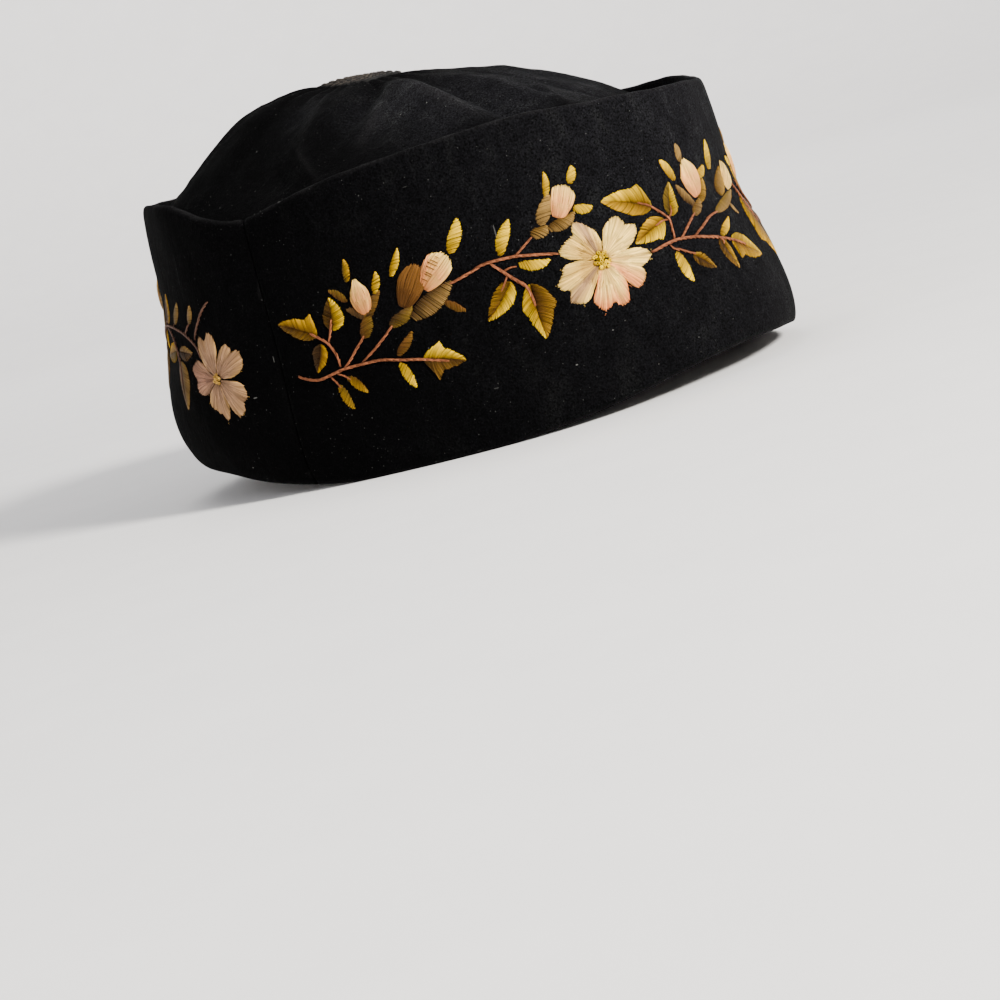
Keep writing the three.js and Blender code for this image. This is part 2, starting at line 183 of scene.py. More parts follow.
BACK_LEAVES = [
    ((211.6, 44.6), (210.4, 30.5), -0.3, 0.02, 2.6, 0.0, "aged", 4.6, 0.0, "tan", 0.4),
    ((211.0, 48.0), (202.4, 46.8), 0.0, 0.02, 2.8, 0.0, "brown", 1.9, 0.0, "tan", 0.4),
    ((214.6, 48.3), (226.6, 46.6), 0.3, 0.05, 3.0, 0.0, "gold", 3.2, 0.0, "olive", 0.4),
    ((222.4, 57.2), (219.6, 65.6), 0.2, 0.05, 2.8, 0.0, "gold", 3.0, 0.0, "amber", 0.4),
    ((231.6, 48.6), (234.0, 36.4), 0.3, 0.04, 3.2, 1.0, "gold", 3.2, 0.0, "amber", 0.4),
    ((243.0, 47.6), (240.4, 37.6), -0.2, 0.04, 3.0, 0.0, "amber", 3.0, 0.0, "gold", 0.4),
    ((252.4, 50.2), (258.0, 60.0), 0.3, 0.05, 3.4, 0.0, "gold", 3.2, 1.0, "olive", 0.35),
    ((257.6, 46.4), (254.6, 35.4), 0.3, 0.03, 3.4, 0.8, "amber", 3.3, 0.0, "gold", 0.4),
    ((266.4, 44.4), (275.6, 38.4), 0.3, 0.05, 3.4, 0.0, "gold", 3.4, 1.2, "gold", 0.32),
]

# Small leaves, sepals and calyxes without a midrib, worked across in slanted satin stitch:
# base, tip, width, bow, silk and the silk of the far edge
SIDE_BLADES = [
    ((146.2, 28.3), (143.4, 21.0), 3.1, 0.2, "olive", "gold"),
    ((143.0, 29.9), (138.0, 24.7), 3.1, -0.2, "amber", "gold"),
    ((133.9, 39.3), (132.2, 46.2), 4.7, 0.2, "umber", "olive"),
    ((136.6, 50.9), (141.6, 54.9), 2.5, 0.2, "umber", "olive"),
    ((132.4, 45.2), (137.6, 48.4), 3.0, 0.3, "brown", "brown"),
    ((132.0, 43.6), (126.3, 51.4), 3.5, -0.8, "brown", "amber"),
    ((127.7, 50.7), (126.0, 56.7), 2.8, 0.2, "gold", "bright"),
    ((134.9, 56.0), (134.4, 62.3), 2.7, 0.1, "olive", "gold"),
    ((125.8, 40.6), (118.6, 44.9), 4.3, 0.3, "brown", "olive"),
    ((109.0, 43.2), (103.9, 39.7), 2.8, 0.0, "umber", "amber"),
    ((121.7, 54.2), (117.9, 61.3), 2.7, 0.2, "gold", "bright"),
    ((103.3, 55.8), (99.4, 64.8), 4.4, 0.2, "bright", "bright"),
    ((126.5, 30.2), (123.4, 22.6), 3.3, -0.1, "bright", "bright"),
    ((126.0, 32.3), (120.5, 38.0), 3.1, 0.2, "umber", "amber"),
    ((89.9, 51.5), (85.5, 60.5), 4.1, -0.7, "bright", "bright"),
    ((86.2, 47.6), (77.5, 46.8), 3.4, 0.8, "bright", "bright"),
    ((80.3, 53.7), (75.4, 55.9), 4.2, 0.2, "amber", "tan"),
    ((76.4, 56.2), (72.4, 64.1), 5.0, -0.2, "tan", "tan"),
    ((75.2, 54.6), (66.4, 57.4), 4.1, 0.8, "amber", "tan"),
    ((73.1, 63.3), (71.8, 70.2), 2.5, 0.4, "gold", "bright"),
    ((64.7, 65.0), (63.4, 69.8), 3.2, 0.1, "bright", "bright"),
    ((66.4, 57.7), (60.6, 57.5), 3.4, 0.2, "bright", "bright"),
    ((40.9, 38.0), (39.0, 29.0), 4.0, 0.1, "bright", "bright"),
    ((19.6, 38.0), (10.7, 42.2), 2.9, 0.2, "gold", "bright"),
    ((26.7, 45.9), (20.8, 50.2), 3.6, 0.1, "amber", "tan"),
    ((24.2, 49.2), (29.8, 55.8), 3.6, -0.5, "brown", "tan"),
    ((21.2, 49.0), (15.8, 55.4), 4.2, 0.5, "amber", "gold"),
    ((29.0, 57.6), (33.5, 63.8), 3.6, 0.2, "gold", "bright"),
    ((23.8, 61.9), (24.4, 67.0), 3.7, 0.0, "tan", "tan"),
    ((17.4, 55.7), (12.5, 58.6), 3.5, 0.1, "gold", "bright"),
]
FRONT_BLADES = [
    ((15.8, 44.8), (-3.2, 48.9), 3.7, 0.3, "olive", "tan"),
    ((4.6, 45.6), (1.4, 42.0), 1.9, 0.0, "tan", "tan"),
    ((8.9, 48.9), (-0.4, 56.6), 7.0, 0.4, "amber", "gold"),
    ((8.9, 56.8), (5.3, 65.4), 4.9, 0.2, "bright", "bright"),
]
BACK_BLADES = [
    ((201.6, 55.4), (199.4, 60.7), 3.7, 0.2, "tan", "tan"),
    ((213.2, 56.0), (209.2, 62.3), 4.1, -0.2, "olive", "tan"),
    ((236.4, 54.8), (240.6, 60.4), 4.2, 0.2, "olive", "tan"),
    ((239.4, 59.2), (236.4, 65.6), 3.4, 0.3, "olive", "tan"),
    ((241.0, 59.6), (247.2, 63.2), 3.4, -0.3, "amber", "tan"),
    ((243.6, 70.0), (245.2, 75.4), 3.0, 0.1, "gold", "bright"),
    ((230.4, 54.6), (226.2, 49.6), 2.8, 0.2, "gold", "bright"),
    ((249.0, 46.4), (247.4, 39.4), 3.0, 0.2, "gold", "bright"),
    ((262.6, 46.0), (266.2, 53.6), 3.4, 0.1, "gold", "bright"),
    ((272.4, 45.4), (276.4, 51.6), 3.0, 0.2, "gold", "bright"),
]

# Buds and broad sepals, worked lengthways: base, tip, width, how wide the far end stays, how
# far it is raised, silk and the silk of the far end
SIDE_BUDS = [
    ((121.0, 44.8), (113.4, 55.8), 7.8, 0.50, 0.8, "umber", "umber"),
    ((131.8, 45.6), (132.8, 56.3), 6.2, 0.20, 0.9, "pink", "cream"),
    ((113.9, 48.4), (104.8, 56.2), 7.6, 0.75, 0.9, "pink", "cream"),
    ((114.4, 49.4), (109.4, 57.4), 1.9, 0.60, 1.1, "pink", "pink"),
    ((71.6, 56.8), (66.6, 65.2), 6.9, 0.95, 0.9, "pink", "cream"),
    ((21.4, 50.6), (22.8, 62.4), 9.0, 0.30, 1.0, "pink", "cream"),
]
FRONT_BUDS = [
    ((0.6, 50.4), (-7.6, 56.4), 7.4, 0.75, 1.0, "cream", "cream"),
]
BACK_BUDS = [
    ((240.4, 60.0), (243.6, 70.4), 8.0, 0.60, 1.0, "dusty", "beige"),
]

# Broad forms worked across in spaced stitches, so that the ground shows between them
SIDE_BARRED = [
    ((119.2, 41.4), (105.6, 48.6), 6.2, 0.5, "brown", "tan"),
]

# Single fine dark stitches in a row over a finished bud
SIDE_TICKS = [
    ((113.0, 50.6), (107.0, 56.4), 4.0, 0.0, "brown", "umber"),
]

# Stems in rope-like stem stitch: width, then the places that they pass
SIDE_STEMS = [
    (1.25, (159.0, 33.6), (155.5, 32.1), (151.5, 31.3), (147.0, 32.0), (143.0, 32.6),
     (136.5, 32.7), (131.3, 32.5), (126.4, 31.3), (120.3, 29.9), (115.4, 28.4), (112.0, 27.4)),
    (1.1, (143.0, 32.8), (140.4, 34.6), (138.1, 36.9), (135.8, 38.8), (134.3, 40.4)),
    (1.1, (137.2, 33.0), (133.9, 34.9), (131.3, 36.5), (128.1, 38.8), (125.2, 41.2)),
    (1.1, (143.9, 33.3), (144.0, 36.2), (144.8, 38.5), (145.8, 40.6), (148.5, 43.0),
     (151.0, 44.8)),
    (1.1, (145.7, 40.6), (144.8, 42.4), (143.6, 45.2), (143.0, 47.2)),
    (0.9, (148.1, 31.3), (146.4, 29.4), (145.6, 27.4)),
    (0.9, (146.0, 31.8), (143.4, 30.6), (141.8, 29.0)),
    (1.3, (106.4, 47.8), (102.3, 48.8), (99.0, 49.6), (96.3, 50.5), (93.1, 50.6), (90.0, 50.5),
     (86.3, 50.2), (82.5, 49.4), (78.8, 48.6), (74.6, 47.6)),
    (1.1, (86.4, 50.3), (83.4, 52.2), (80.4, 54.2)),
    (0.9, (91.0, 47.0), (88.8, 47.6), (86.8, 47.5)),
    (1.4, (94.0, 50.3), (91.6, 47.8), (90.0, 45.9), (88.1, 43.8), (85.9, 41.3), (85.3, 38.1),
     (85.0, 35.4)),
    (1.0, (90.2, 45.9), (91.4, 43.9), (93.2, 41.6)),
    (1.4, (48.4, 40.1), (43.8, 40.9), (38.8, 41.3), (35.0, 40.9), (31.3, 40.3), (25.6, 38.9),
     (21.2, 37.6), (20.6, 35.4)),
    (1.1, (39.3, 41.4), (38.4, 44.7), (37.9, 47.5), (40.3, 50.3), (43.2, 52.8), (46.5, 54.4)),
    (0.9, (38.0, 47.4), (40.5, 47.5), (43.6, 46.7)),
    (0.9, (37.8, 47.6), (36.2, 48.8), (35.2, 51.0)),
    (1.1, (36.9, 41.1), (33.4, 43.1), (30.0, 45.0), (26.4, 46.8)),
    (1.0, (41.9, 40.9), (41.3, 39.4), (39.1, 38.4), (36.6, 36.9), (34.2, 35.8)),
]
FRONT_STEMS = [
    (1.3, (22.6, 38.0), (20.6, 37.5), (16.3, 35.9), (12.8, 34.4), (10.0, 33.0)),
    (1.1, (31.4, 40.5), (25.6, 42.5), (20.9, 44.2), (15.2, 44.9)),
    (1.2, (-5.6, 51.0), (-7.6, 48.4), (-9.4, 45.6), (-11.0, 41.6), (-12.8, 37.0)),
    (1.2, (-11.6, 51.2), (-14.4, 46.6), (-18.4, 43.2), (-24.0, 41.2), (-31.0, 40.4)),
]
BACK_STEMS = [
    (1.0, (197.0, 44.6), (199.0, 48.5), (203.5, 51.5), (208.0, 53.5), (214.0, 55.0), (220.0, 55.8),
     (226.5, 55.8), (236.0, 54.0), (246.0, 49.6), (256.0, 46.2), (265.0, 45.0), (272.0, 45.8)),
    (1.0, (199.2, 50.3), (197.5, 53.0), (195.0, 55.5), (192.0, 58.2), (187.8, 60.7)),
    (0.9, (223.0, 55.8), (217.0, 53.0), (213.5, 49.0), (212.0, 45.8), (211.2, 42.6),
     (210.9, 38.0)),
    (0.9, (205.4, 52.4), (203.4, 54.2), (201.8, 55.6)),
    (0.9, (214.6, 55.0), (213.8, 56.4)),
    (0.9, (224.4, 55.8), (222.6, 58.0)),
    (1.0, (228.6, 55.6), (230.6, 51.8), (231.8, 48.0)),
    (1.0, (233.4, 54.6), (236.6, 55.6)),
    (0.9, (243.6, 50.8), (243.2, 47.2)),
    (0.9, (249.0, 48.4), (252.6, 50.8)),
    (0.9, (257.8, 45.8), (257.4, 44.6)),
]

# Flowers: each petal is worked from the flower's centre out to its own edge. Each row: silk,
# silk of the tip, a silk that flushes it with the place and width of the flush, and its edge.
SIDE_FLOWER = {
    "centre": (63.4, 42.3), "eye": 2.9, "knots": "bright",
    "petals": [
        ("beige", "cream", ("dusty", 0.4, 0.24),
         [(69.6, 44.3), (73.0, 45.6), (74.8, 47.8), (72.0, 50.2), (69.2, 51.4), (68.8, 53.4),
          (67.2, 54.8), (64.2, 53.0), (62.2, 50.5), (61.6, 47.4)]),
        ("cream", "cream", ("cream", 0.0, 1.0),
         [(60.8, 46.5), (60.0, 50.0), (57.5, 52.4), (54.4, 53.1), (52.8, 51.4), (52.5, 49.9),
          (50.2, 49.6), (49.3, 48.1), (51.5, 45.2), (55.0, 43.2)]),
        ("cream", "cream", ("blush", 0.52, 0.34),
         [(55.0, 43.1), (51.0, 42.6), (48.1, 40.6), (49.6, 38.4), (52.5, 37.2), (52.2, 35.0),
          (53.8, 32.8), (56.3, 31.9), (58.0, 33.8), (59.3, 36.8)]),
        ("cream", "blush", ("blush", 0.7, 0.26),
         [(59.2, 37.0), (58.8, 33.8), (60.0, 29.4), (62.5, 28.3), (64.3, 30.0), (65.6, 29.2),
          (67.4, 28.3), (69.0, 29.8), (69.7, 32.2), (67.5, 36.0), (66.3, 38.5)]),
        ("beige", "cream", ("dusty", -0.2, 0.22),
         [(67.3, 37.6), (70.0, 33.4), (72.5, 32.1), (75.9, 33.4), (75.2, 36.5), (77.0, 37.2),
          (78.2, 38.8), (76.0, 41.6), (74.4, 43.8), (70.3, 44.2)]),
    ],
}
BACK_FLOWER = {
    "centre": (190.4, 38.0), "eye": 1.7, "knots": "beige",
    "petals": [
        ("dusty", "beige", ("dusty", 0.0, 1.0),
         [(196.6, 43.4), (198.4, 47.5), (198.0, 50.8), (196.3, 51.4), (194.2, 50.2), (191.6, 52.2),
          (189.2, 50.6), (188.4, 47.5), (189.3, 43.6)]),
        ("dusty", "beige", ("dusty", 0.0, 1.0),
         [(188.4, 42.4), (187.4, 45.6), (184.0, 47.8), (182.2, 46.6), (181.4, 45.0), (178.8, 45.2),
          (177.6, 41.4), (180.0, 38.6), (183.8, 37.6)]),
        ("dusty", "beige", ("dusty", 0.0, 1.0),
         [(185.4, 36.6), (181.8, 36.0), (179.4, 34.4), (178.6, 31.0), (180.6, 29.4), (181.2, 27.0),
          (184.0, 25.6), (186.4, 28.0), (187.8, 32.0)]),
        ("dusty", "beige", ("dusty", 0.0, 1.0),
         [(188.4, 32.4), (187.8, 28.4), (189.2, 25.2), (192.0, 27.4), (195.8, 29.8), (196.4, 31.5),
          (195.8, 33.6)]),
        ("dusty", "dusty", ("mauve", 0.0, 0.8),
         [(196.2, 34.2), (199.7, 34.0), (202.2, 36.3), (201.8, 38.9), (203.9, 42.4), (200.5, 44.6),
          (197.2, 43.4)]),
    ],
}


# Helpers


def unit(vectors):
    """The same vectors, each one unit long."""
    return vectors / (np.linalg.norm(vectors, axis=-1, keepdims=True) + 1e-9)


def left_of(vectors):
    """Flat vectors, turned a quarter turn to the left."""
    return np.stack([-vectors[..., 1], vectors[..., 0]], -1)


def run_of(points):
    """How far along a line of points each of them is."""
    return np.concatenate([[0], np.cumsum(np.linalg.norm(np.diff(points, axis=0), axis=1))])


def smooth_step(x):
    x = np.clip(x, 0, 1)
    return x * x * (3 - 2 * x)


def turn_of(x, y):
    """Degrees round the cap from its front, positive towards the wearer's right."""
    return np.degrees(np.arctan2(-x, -y))


def put_in_scene(name, data):
    thing = bpy.data.objects.new(name, data)
    bpy.context.scene.collection.objects.link(thing)
    return thing


def hold(piece):
    """Leaves one piece selected and active."""
    bpy.ops.object.select_all(action="DESELECT")
    piece.select_set(True)
    bpy.context.view_layer.objects.active = piece


def apply_modifier(piece, kind, **settings):
    hold(piece)
    modifier = piece.modifiers.new(kind.title(), kind)
    for setting, value in settings.items():
        setattr(modifier, setting, value)
    bpy.ops.object.modifier_apply(modifier=modifier.name)


def vertices_of(piece):
    """Places and normals of a piece's vertices, in millimetres and as unit vectors."""
    mesh = piece.data
    places, normals = np.empty((2, len(mesh.vertices) * 3), np.float32)
    mesh.vertices.foreach_get("co", places)
    mesh.vertex_normals.foreach_get("vector", normals)
    return places.reshape(-1, 3).astype(float) / MM, normals.reshape(-1, 3).astype(float)


def move_vertices(piece, places):
    """Sets the vertices of a piece to places in millimetres."""
    piece.data.vertices.foreach_set("co", (places * MM).astype(np.float32).ravel())
    piece.data.update()


def mark_points(mesh, name, values):
    """Keeps one number for each vertex, which a material can read."""
    attribute = mesh.attributes.new(name, "FLOAT", "POINT")
    attribute.data.foreach_set("value", values.astype(np.float32))


# Velvet


def velvet_from(node, name, levels):
    """Smooth closed copy of one of the cap's solids, as soft cloth."""
    piece = put_in_scene(name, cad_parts[node].data.copy())
    piece.data.materials.clear()
    hold(piece)
    if piece.data.has_custom_normals:
        bpy.ops.mesh.customdata_custom_splitnormals_clear()
    bpy.ops.object.mode_set(mode="EDIT")
    bpy.ops.mesh.select_all(action="SELECT")
    bpy.ops.mesh.remove_doubles(threshold=0.00001)
    bpy.ops.mesh.tris_convert_to_quads(face_threshold=math.pi, shape_threshold=math.pi)
    bpy.ops.object.mode_set(mode="OBJECT")
    crease_seam_ends(piece)
    apply_modifier(piece, "SUBSURF", levels=levels, render_levels=levels)
    bpy.ops.object.shade_smooth()
    return piece


def crease_seam_ends(piece):
    """Keeps the two upright ends of a band piece fairly tight when it is smoothed."""
    faces = [f for f in piece.data.polygons if abs(f.normal.z) < 0.3]
    ends = set()
    for face in faces:
        centre = Vector((face.center.x, face.center.y, 0)).normalized()
        if abs(centre.dot(face.normal)) < 0.35:
            ends.update(tuple(sorted(key)) for key in face.edge_keys)
    crease = piece.data.attributes.get("crease_edge")
    if crease is None:
        crease = piece.data.attributes.new("crease_edge", "FLOAT", "EDGE")
    tight = [0.6 if tuple(sorted(e.vertices)) in ends else 0.0 for e in piece.data.edges]
    crease.data.foreach_set("value", tight)


def band_wave(turn, up):
    """How far the band's wall bulges outwards, in millimetres, at a place on it."""
    a = np.radians(turn)
    slow = 0.55 * np.sin(3 * a + 0.6) * np.sin(up / 21 + 0.4)
    middle = 0.42 * np.sin(7 * a + up / 30 + 1.1) * np.sin(up / 26 + 1.2)
    small = 0.22 * np.sin(15 * a - up / 17) * np.sin(up / 14 + 2.0 * np.sin(4 * a))
    return (slow + middle + small) * smooth_step((up - 2) / 12)


def seam_pucker(turn, up):
    """Short level creases that run out from the two side seams."""
    off = (np.abs(turn) - SEAM_TURN) * SEAM_MM_PER_DEGREE
    level = up / 2.6 + 0.25 * off + 1.5 * np.sin(up / 9)
    return 0.14 * np.exp(-np.abs(off) / 6) * np.sin(level) - 0.22 * np.exp(-(off / 2.0) ** 2)


def edge_heights(turn, up, take, steps=360):
    """Height of the rim or the top edge above each vertex's own place round the band."""
    place = ((turn + 180) / 360 * steps).astype(int) % steps
    edge = np.full(steps, np.nan)
    for i in range(steps):
        near = up[place == i]
        if len(near):
            edge[i] = take(near)
    known = ~np.isnan(edge)
    edge = np.interp(np.arange(steps), np.flatnonzero(known), edge[known], period=steps)
    return np.interp((turn + 180) / 360 * steps, np.arange(steps) + 0.5, edge, period=steps)


def shape_band(piece):
    """Waves, seam puckers, a soft turned-over top edge and a slightly drawn-in hem; marks for
    rubbing with a painted highlight on the edges, and painted light on the pile.
    """
    places, _ = vertices_of(piece)
    turn, up = turn_of(places[:, 0], places[:, 1]), places[:, 2]
    a = np.radians(turn)
    below = edge_heights(turn, up, np.max) - up
    above = up - edge_heights(turn, up, np.min)
    out = band_wave(turn, up) + seam_pucker(turn, up)
    out += 0.12 * np.exp(-((below - 2.2) / 2.2) ** 2)
    out -= np.exp(-((above - 5.5) / 2.2) ** 2) * (0.08 + 0.08 * np.sin(a * 41))
    places[:, :2] += unit(places[:, :2]) * out[:, None]
    ripple = 0.12 * np.sin(a * 17 + 0.8) + 0.06 * np.sin(a * 43)
    places[:, 2] += ripple * smooth_step(1 - below / 8) - RIM_SINK * smooth_step(1 - above / 12)
    move_vertices(piece, places)
    patchy = 0.65 + 0.35 * np.sin(a * 29 + 2 * np.sin(a * 7))
    # A painted highlight with some rubbing along the turned-over top edge, and rubbing along the
    # rim
    rub_and_painted_light = 0.32 * patchy * np.exp(-(below / 0.7) ** 2) + 0.20 * np.exp(-(above / 0.6) ** 2)
    mark_points(piece.data, "rub_and_painted_light", rub_and_painted_light)
    # Painted light on the pile: lighter at the front and higher up, darker towards the sides and
    # back
    high = 0.78 + 0.44 * smooth_step((up - 25) / 45)
    mark_points(piece.data, "pile_tone_and_painted_light", np.interp(np.abs(turn), PILE_TURNS, PILE_PAINTED_LIGHT) * high)


def pleat_height(x, y, pleat):
    """Rise of one crown pleat over each place in plan."""
    start, bend, end = np.array(pleat[:3], float)
    height, ahead, behind = pleat[3:]
    t = np.linspace(0, 1, 25)[:, None]
    line = (1 - t) ** 2 * start + 2 * t * (1 - t) * (2 * bend - (start + end) / 2) + t ** 2 * end
    away = np.stack([x, y], 1)[:, None, :] - line[None]
    nearest = np.argmin((away ** 2).sum(2), axis=1)
    offset = away[np.arange(len(x)), nearest]
    heading = unit(np.gradient(line, axis=0))[nearest]
    side = (left_of(heading) * offset).sum(1)
    past = (heading * offset).sum(1)
    reach = np.where(side > 0, ahead, behind)
    fade = np.sin(np.pi * np.clip(t[nearest, 0] * 0.92 + 0.04, 0, 1)) ** 0.7
    lip = 1 / (1 + (side / reach) ** 2) ** 1.5
    return height * lip * fade * np.exp(-(past / 4) ** 2)


def patch_at(x, y, centre, reach):
    """A round soft patch in plan: one at its centre, fading to nothing past its reach."""
    return np.exp(-(((x - centre[0]) / reach[0]) ** 2 + ((y - centre[1]) / reach[1]) ** 2))


def shape_crown(piece):
    """Sharper pleats on the crown's broad folds and small gathers round the button; marks for
    rubbing with a painted highlight on the pleats' crests, painted light towards the front and two
    lighter round patches.
    """
    places, normals = vertices_of(piece)
    x, y, up = places.T
    from_centre = np.hypot(x - CROWN_CENTRE[0], y - CROWN_CENTRE[1])
    round_centre = np.arctan2(x - CROWN_CENTRE[0], y - CROWN_CENTRE[1])
    rise = sum(pleat_height(x, y, pleat) for pleat in CROWN_PLEATS)
    ridge = np.clip(rise, 0, None)
    gathers = np.abs(np.sin(round_centre * 13 + 0.8 * np.sin(round_centre * 3))) - 0.5
    rise = rise + 0.9 * gathers * np.exp(-((from_centre - 17) / 9) ** 2)
    rise += 0.35 * np.sin(x / 5.3 + 1.7 * np.sin(y / 9)) * np.sin(y / 6.1 + 1.3 * np.sin(x / 8))
    rise += 0.16 * np.sin(x / 2.3 + 2 * np.sin(y / 4)) * np.sin(y / 2.6 + 1.7 * np.sin(x / 5))
    turn, radial = turn_of(x, y), unit(places[:, :2])
    near_seam = smooth_step((from_centre - 45) / 25)
    places[:, 2] += rise * smooth_step((up - 70) / 12)
    places[:, :2] += radial * (band_wave(turn, up) * near_seam)[:, None]
    move_vertices(piece, places)
    # A painted highlight with some rubbing on the crests of the pleats
    rub_and_painted_light = 0.45 * np.clip(ridge / 2.0, 0, 1) ** 2
    mark_points(piece.data, "rub_and_painted_light", rub_and_painted_light * (normals[:, 2] > -0.2))
    # Lighter in two round patches, and painted light that makes the crown lighter towards its
    # front
    lighter_patches = patch_at(x, y, (-36, -12), (13, 16)) + 0.5 * patch_at(x, y, (-31, 19), (8, 7))
    lit_front = smooth_step((-y - 5) / 34) * smooth_step((82 - from_centre) / 16)
    mark_points(piece.data, "pile_tone_and_painted_light", 0.14 + 1.15 * lighter_patches + 1.05 * lit_front)


def dress(piece, outer, lining, faces_in):
    """Gives a piece its velvet, and the faces that look inwards their lining cloth."""
    piece.data.materials.append(outer)
    piece.data.materials.append(lining)
    piece.data.polygons.foreach_set(
        "material_index", [int(faces_in(face)) for face in piece.data.polygons])


def on_inner_wall(face):
    """True for a face of the band's inner side."""
    outward = Vector((face.center.x, face.center.y, 0)).normalized()
    return face.normal.dot(outward) < -0.55 and face.center.z < FACING_TOP * MM


def under_crown(face):
    """True for a face of the crown's inner side."""
    return face.normal.z < -0.25


# Materials


class Paint:
    """A material in the making. Most methods add one node and give its output."""

    def __init__(self, name):
        self.material = bpy.data.materials.new(name)
        self.material.use_nodes = True
        self.tree = self.material.node_tree

    def feed(self, node, inputs):
        """Sets inputs, by name or number, to values or links them to other nodes' outputs."""
        for name, value in inputs.items():
            if isinstance(value, bpy.types.NodeSocket):
                self.tree.links.new(value, node.inputs[name])
            else:
                node.inputs[name].default_value = value

    def node(self, kind, inputs, **settings):
        node = self.tree.nodes.new("ShaderNode" + kind)
        node.location = (-200 * len(self.tree.nodes), 0)
        for setting, value in settings.items():
            setattr(node, setting, value)
        self.feed(node, inputs)
        return node.outputs

    def place(self, kind="Object"):
        return self.node("TexCoord", {})[kind]

    def turned(self, place, turn, squeeze):
        inputs = {"Vector": place, "Rotation": turn, "Scale": squeeze}
        return self.node("Mapping", inputs)["Vector"]

    def attribute(self, name, output="Fac"):
        return self.node("Attribute", {}, attribute_name=name)[output]

    def noise(self, place, scale, detail, roughness, distortion=0.0):
        return self.node("TexNoise", {"Vector": place, "Scale": scale, "Detail": detail,
                                      "Roughness": roughness, "Distortion": distortion})["Fac"]

    def wave(self, place, axis, scale, distortion, detail, detail_scale):
        inputs = {"Vector": place, "Scale": scale, "Distortion": distortion, "Detail": detail,
                  "Detail Scale": detail_scale}
        return self.node("TexWave", inputs, bands_direction=axis)["Fac"]

    def fit(self, value, low, high, start=0.0, end=1.0):
        """Turns start to end of a value into low to high."""
        return self.node("MapRange", {"Value": value, "From Min": start, "From Max": end,
                                      "To Min": low, "To Max": high})["Result"]

    def calc(self, operation, a, b):
        return self.node("Math", {0: a, 1: b}, operation=operation)["Value"]

    def mix(self, amount, under, over, blend="MIX"):
        inputs = {0: amount, 6: under, 7: over}
        return self.node("Mix", inputs, data_type="RGBA", blend_type=blend)[2]

    def ramp(self, value, stops):
        """Colours by value, from rows of place and colour."""
        colour = self.node("ValToRGB", {"Fac": value})["Color"]
        elements = colour.node.color_ramp.elements
        while len(elements) < len(stops):
            elements.new(0.5)
        for element, (place, shade_there) in zip(elements, stops):
            element.position = place
            element.color = (*shade_there, 1)
        return colour

    def bump(self, height, strength, distance, **under):
        inputs = {"Height": height, "Strength": strength, "Distance": distance, **under}
        return self.node("Bump", inputs)["Normal"]

    def done(self, inputs):
        """Feeds the surface shader and gives the finished material."""
        self.feed(self.tree.nodes["Principled BSDF"], inputs)
        return self.material


def velvet_material():
    """Near-black silk velvet: grainy nap, crushed patches, dust and a few fine fibres."""
    paint = Paint("black_velvet")
    place = paint.place()
    stroke = paint.turned(place, (0, 0, 0), (1, 1, 0.55))
    patch = paint.noise(stroke, 120, 8, 0.72, 0.3)
    grain = paint.noise(place, 1900, 2, 0.75)
    # The pile's painted light, with a fine grain, scales the nap's colour
    pile_tone_and_light = paint.calc("MULTIPLY", paint.fit(grain, 0.0, 2.9, 0.36, 0.70),
                           paint.attribute("pile_tone_and_painted_light"))
    nap = paint.ramp(patch, [(0.34, (0.0020, 0.0020, 0.0024)), (0.54, (0.0034, 0.0034, 0.0040)),
                             (0.74, (0.0066, 0.0068, 0.0070))])
    tone = paint.mix(1.0, nap, pile_tone_and_light, "MULTIPLY")
    # Rubbed nap and a painted highlight, mixed in as a pale grey
    rubbed_and_lit = paint.calc("MULTIPLY", paint.attribute("rub_and_painted_light"), grain)
    tone = paint.mix(rubbed_and_lit, tone, (0.034, 0.033, 0.034, 1))
    for turn, squeeze, scale, size, missing, colour in SPECKS:
        lie = paint.turned(place, turn, squeeze)
        cell = paint.node("TexVoronoi", {"Vector": lie, "Scale": scale, "Randomness": 1.0})
        chance = paint.node("SeparateColor", {"Color": cell["Color"]})
        wide = paint.fit(chance["Red"], 0.0, size, missing, 1.0)
        inside = paint.calc("LESS_THAN", cell["Distance"], wide)
        tone = paint.mix(paint.calc("MULTIPLY", inside, chance["Green"]), tone, colour)
    # Sheen, stronger where the pile's painted light is
    sheen = paint.calc("MULTIPLY", paint.fit(patch, 0.006, 0.04, 0.46, 0.76), pile_tone_and_light)
    crush = paint.noise(stroke, 150, 5, 0.6, 0.7)
    hollows = paint.bump(crush, 0.6, 0.0014)
    return paint.done({
        "Base Color": tone, "Sheen Weight": sheen, "Sheen Roughness": 0.30,
        "Sheen Tint": (0.86, 0.90, 0.92, 1), "Roughness": paint.fit(patch, 0.88, 1.0),
        "Specular IOR Level": 0.03, "Normal": paint.bump(grain, 0.7, 0.0004, Normal=hollows)})


def lining_material():
    """Plain dark glazed cotton, woven fine, worn a little brown."""
    paint = Paint("lining_cotton")
    place = paint.place()
    up, across, away = (paint.wave(place, axis, 420, 0.8, 1.5, 2) for axis in "ZXY")
    cloth = paint.calc("ADD", paint.calc("MULTIPLY", up, across), away)
    wear = paint.noise(place, 28, 4, 0.6)
    tone = paint.ramp(wear, [(0.32, (0.016, 0.013, 0.011)), (0.7, (0.040, 0.031, 0.024))])
    return paint.done({"Base Color": tone, "Normal": paint.bump(cloth, 0.4, 0.0003),
                       "Roughness": paint.fit(wear, 0.5, 0.75)})


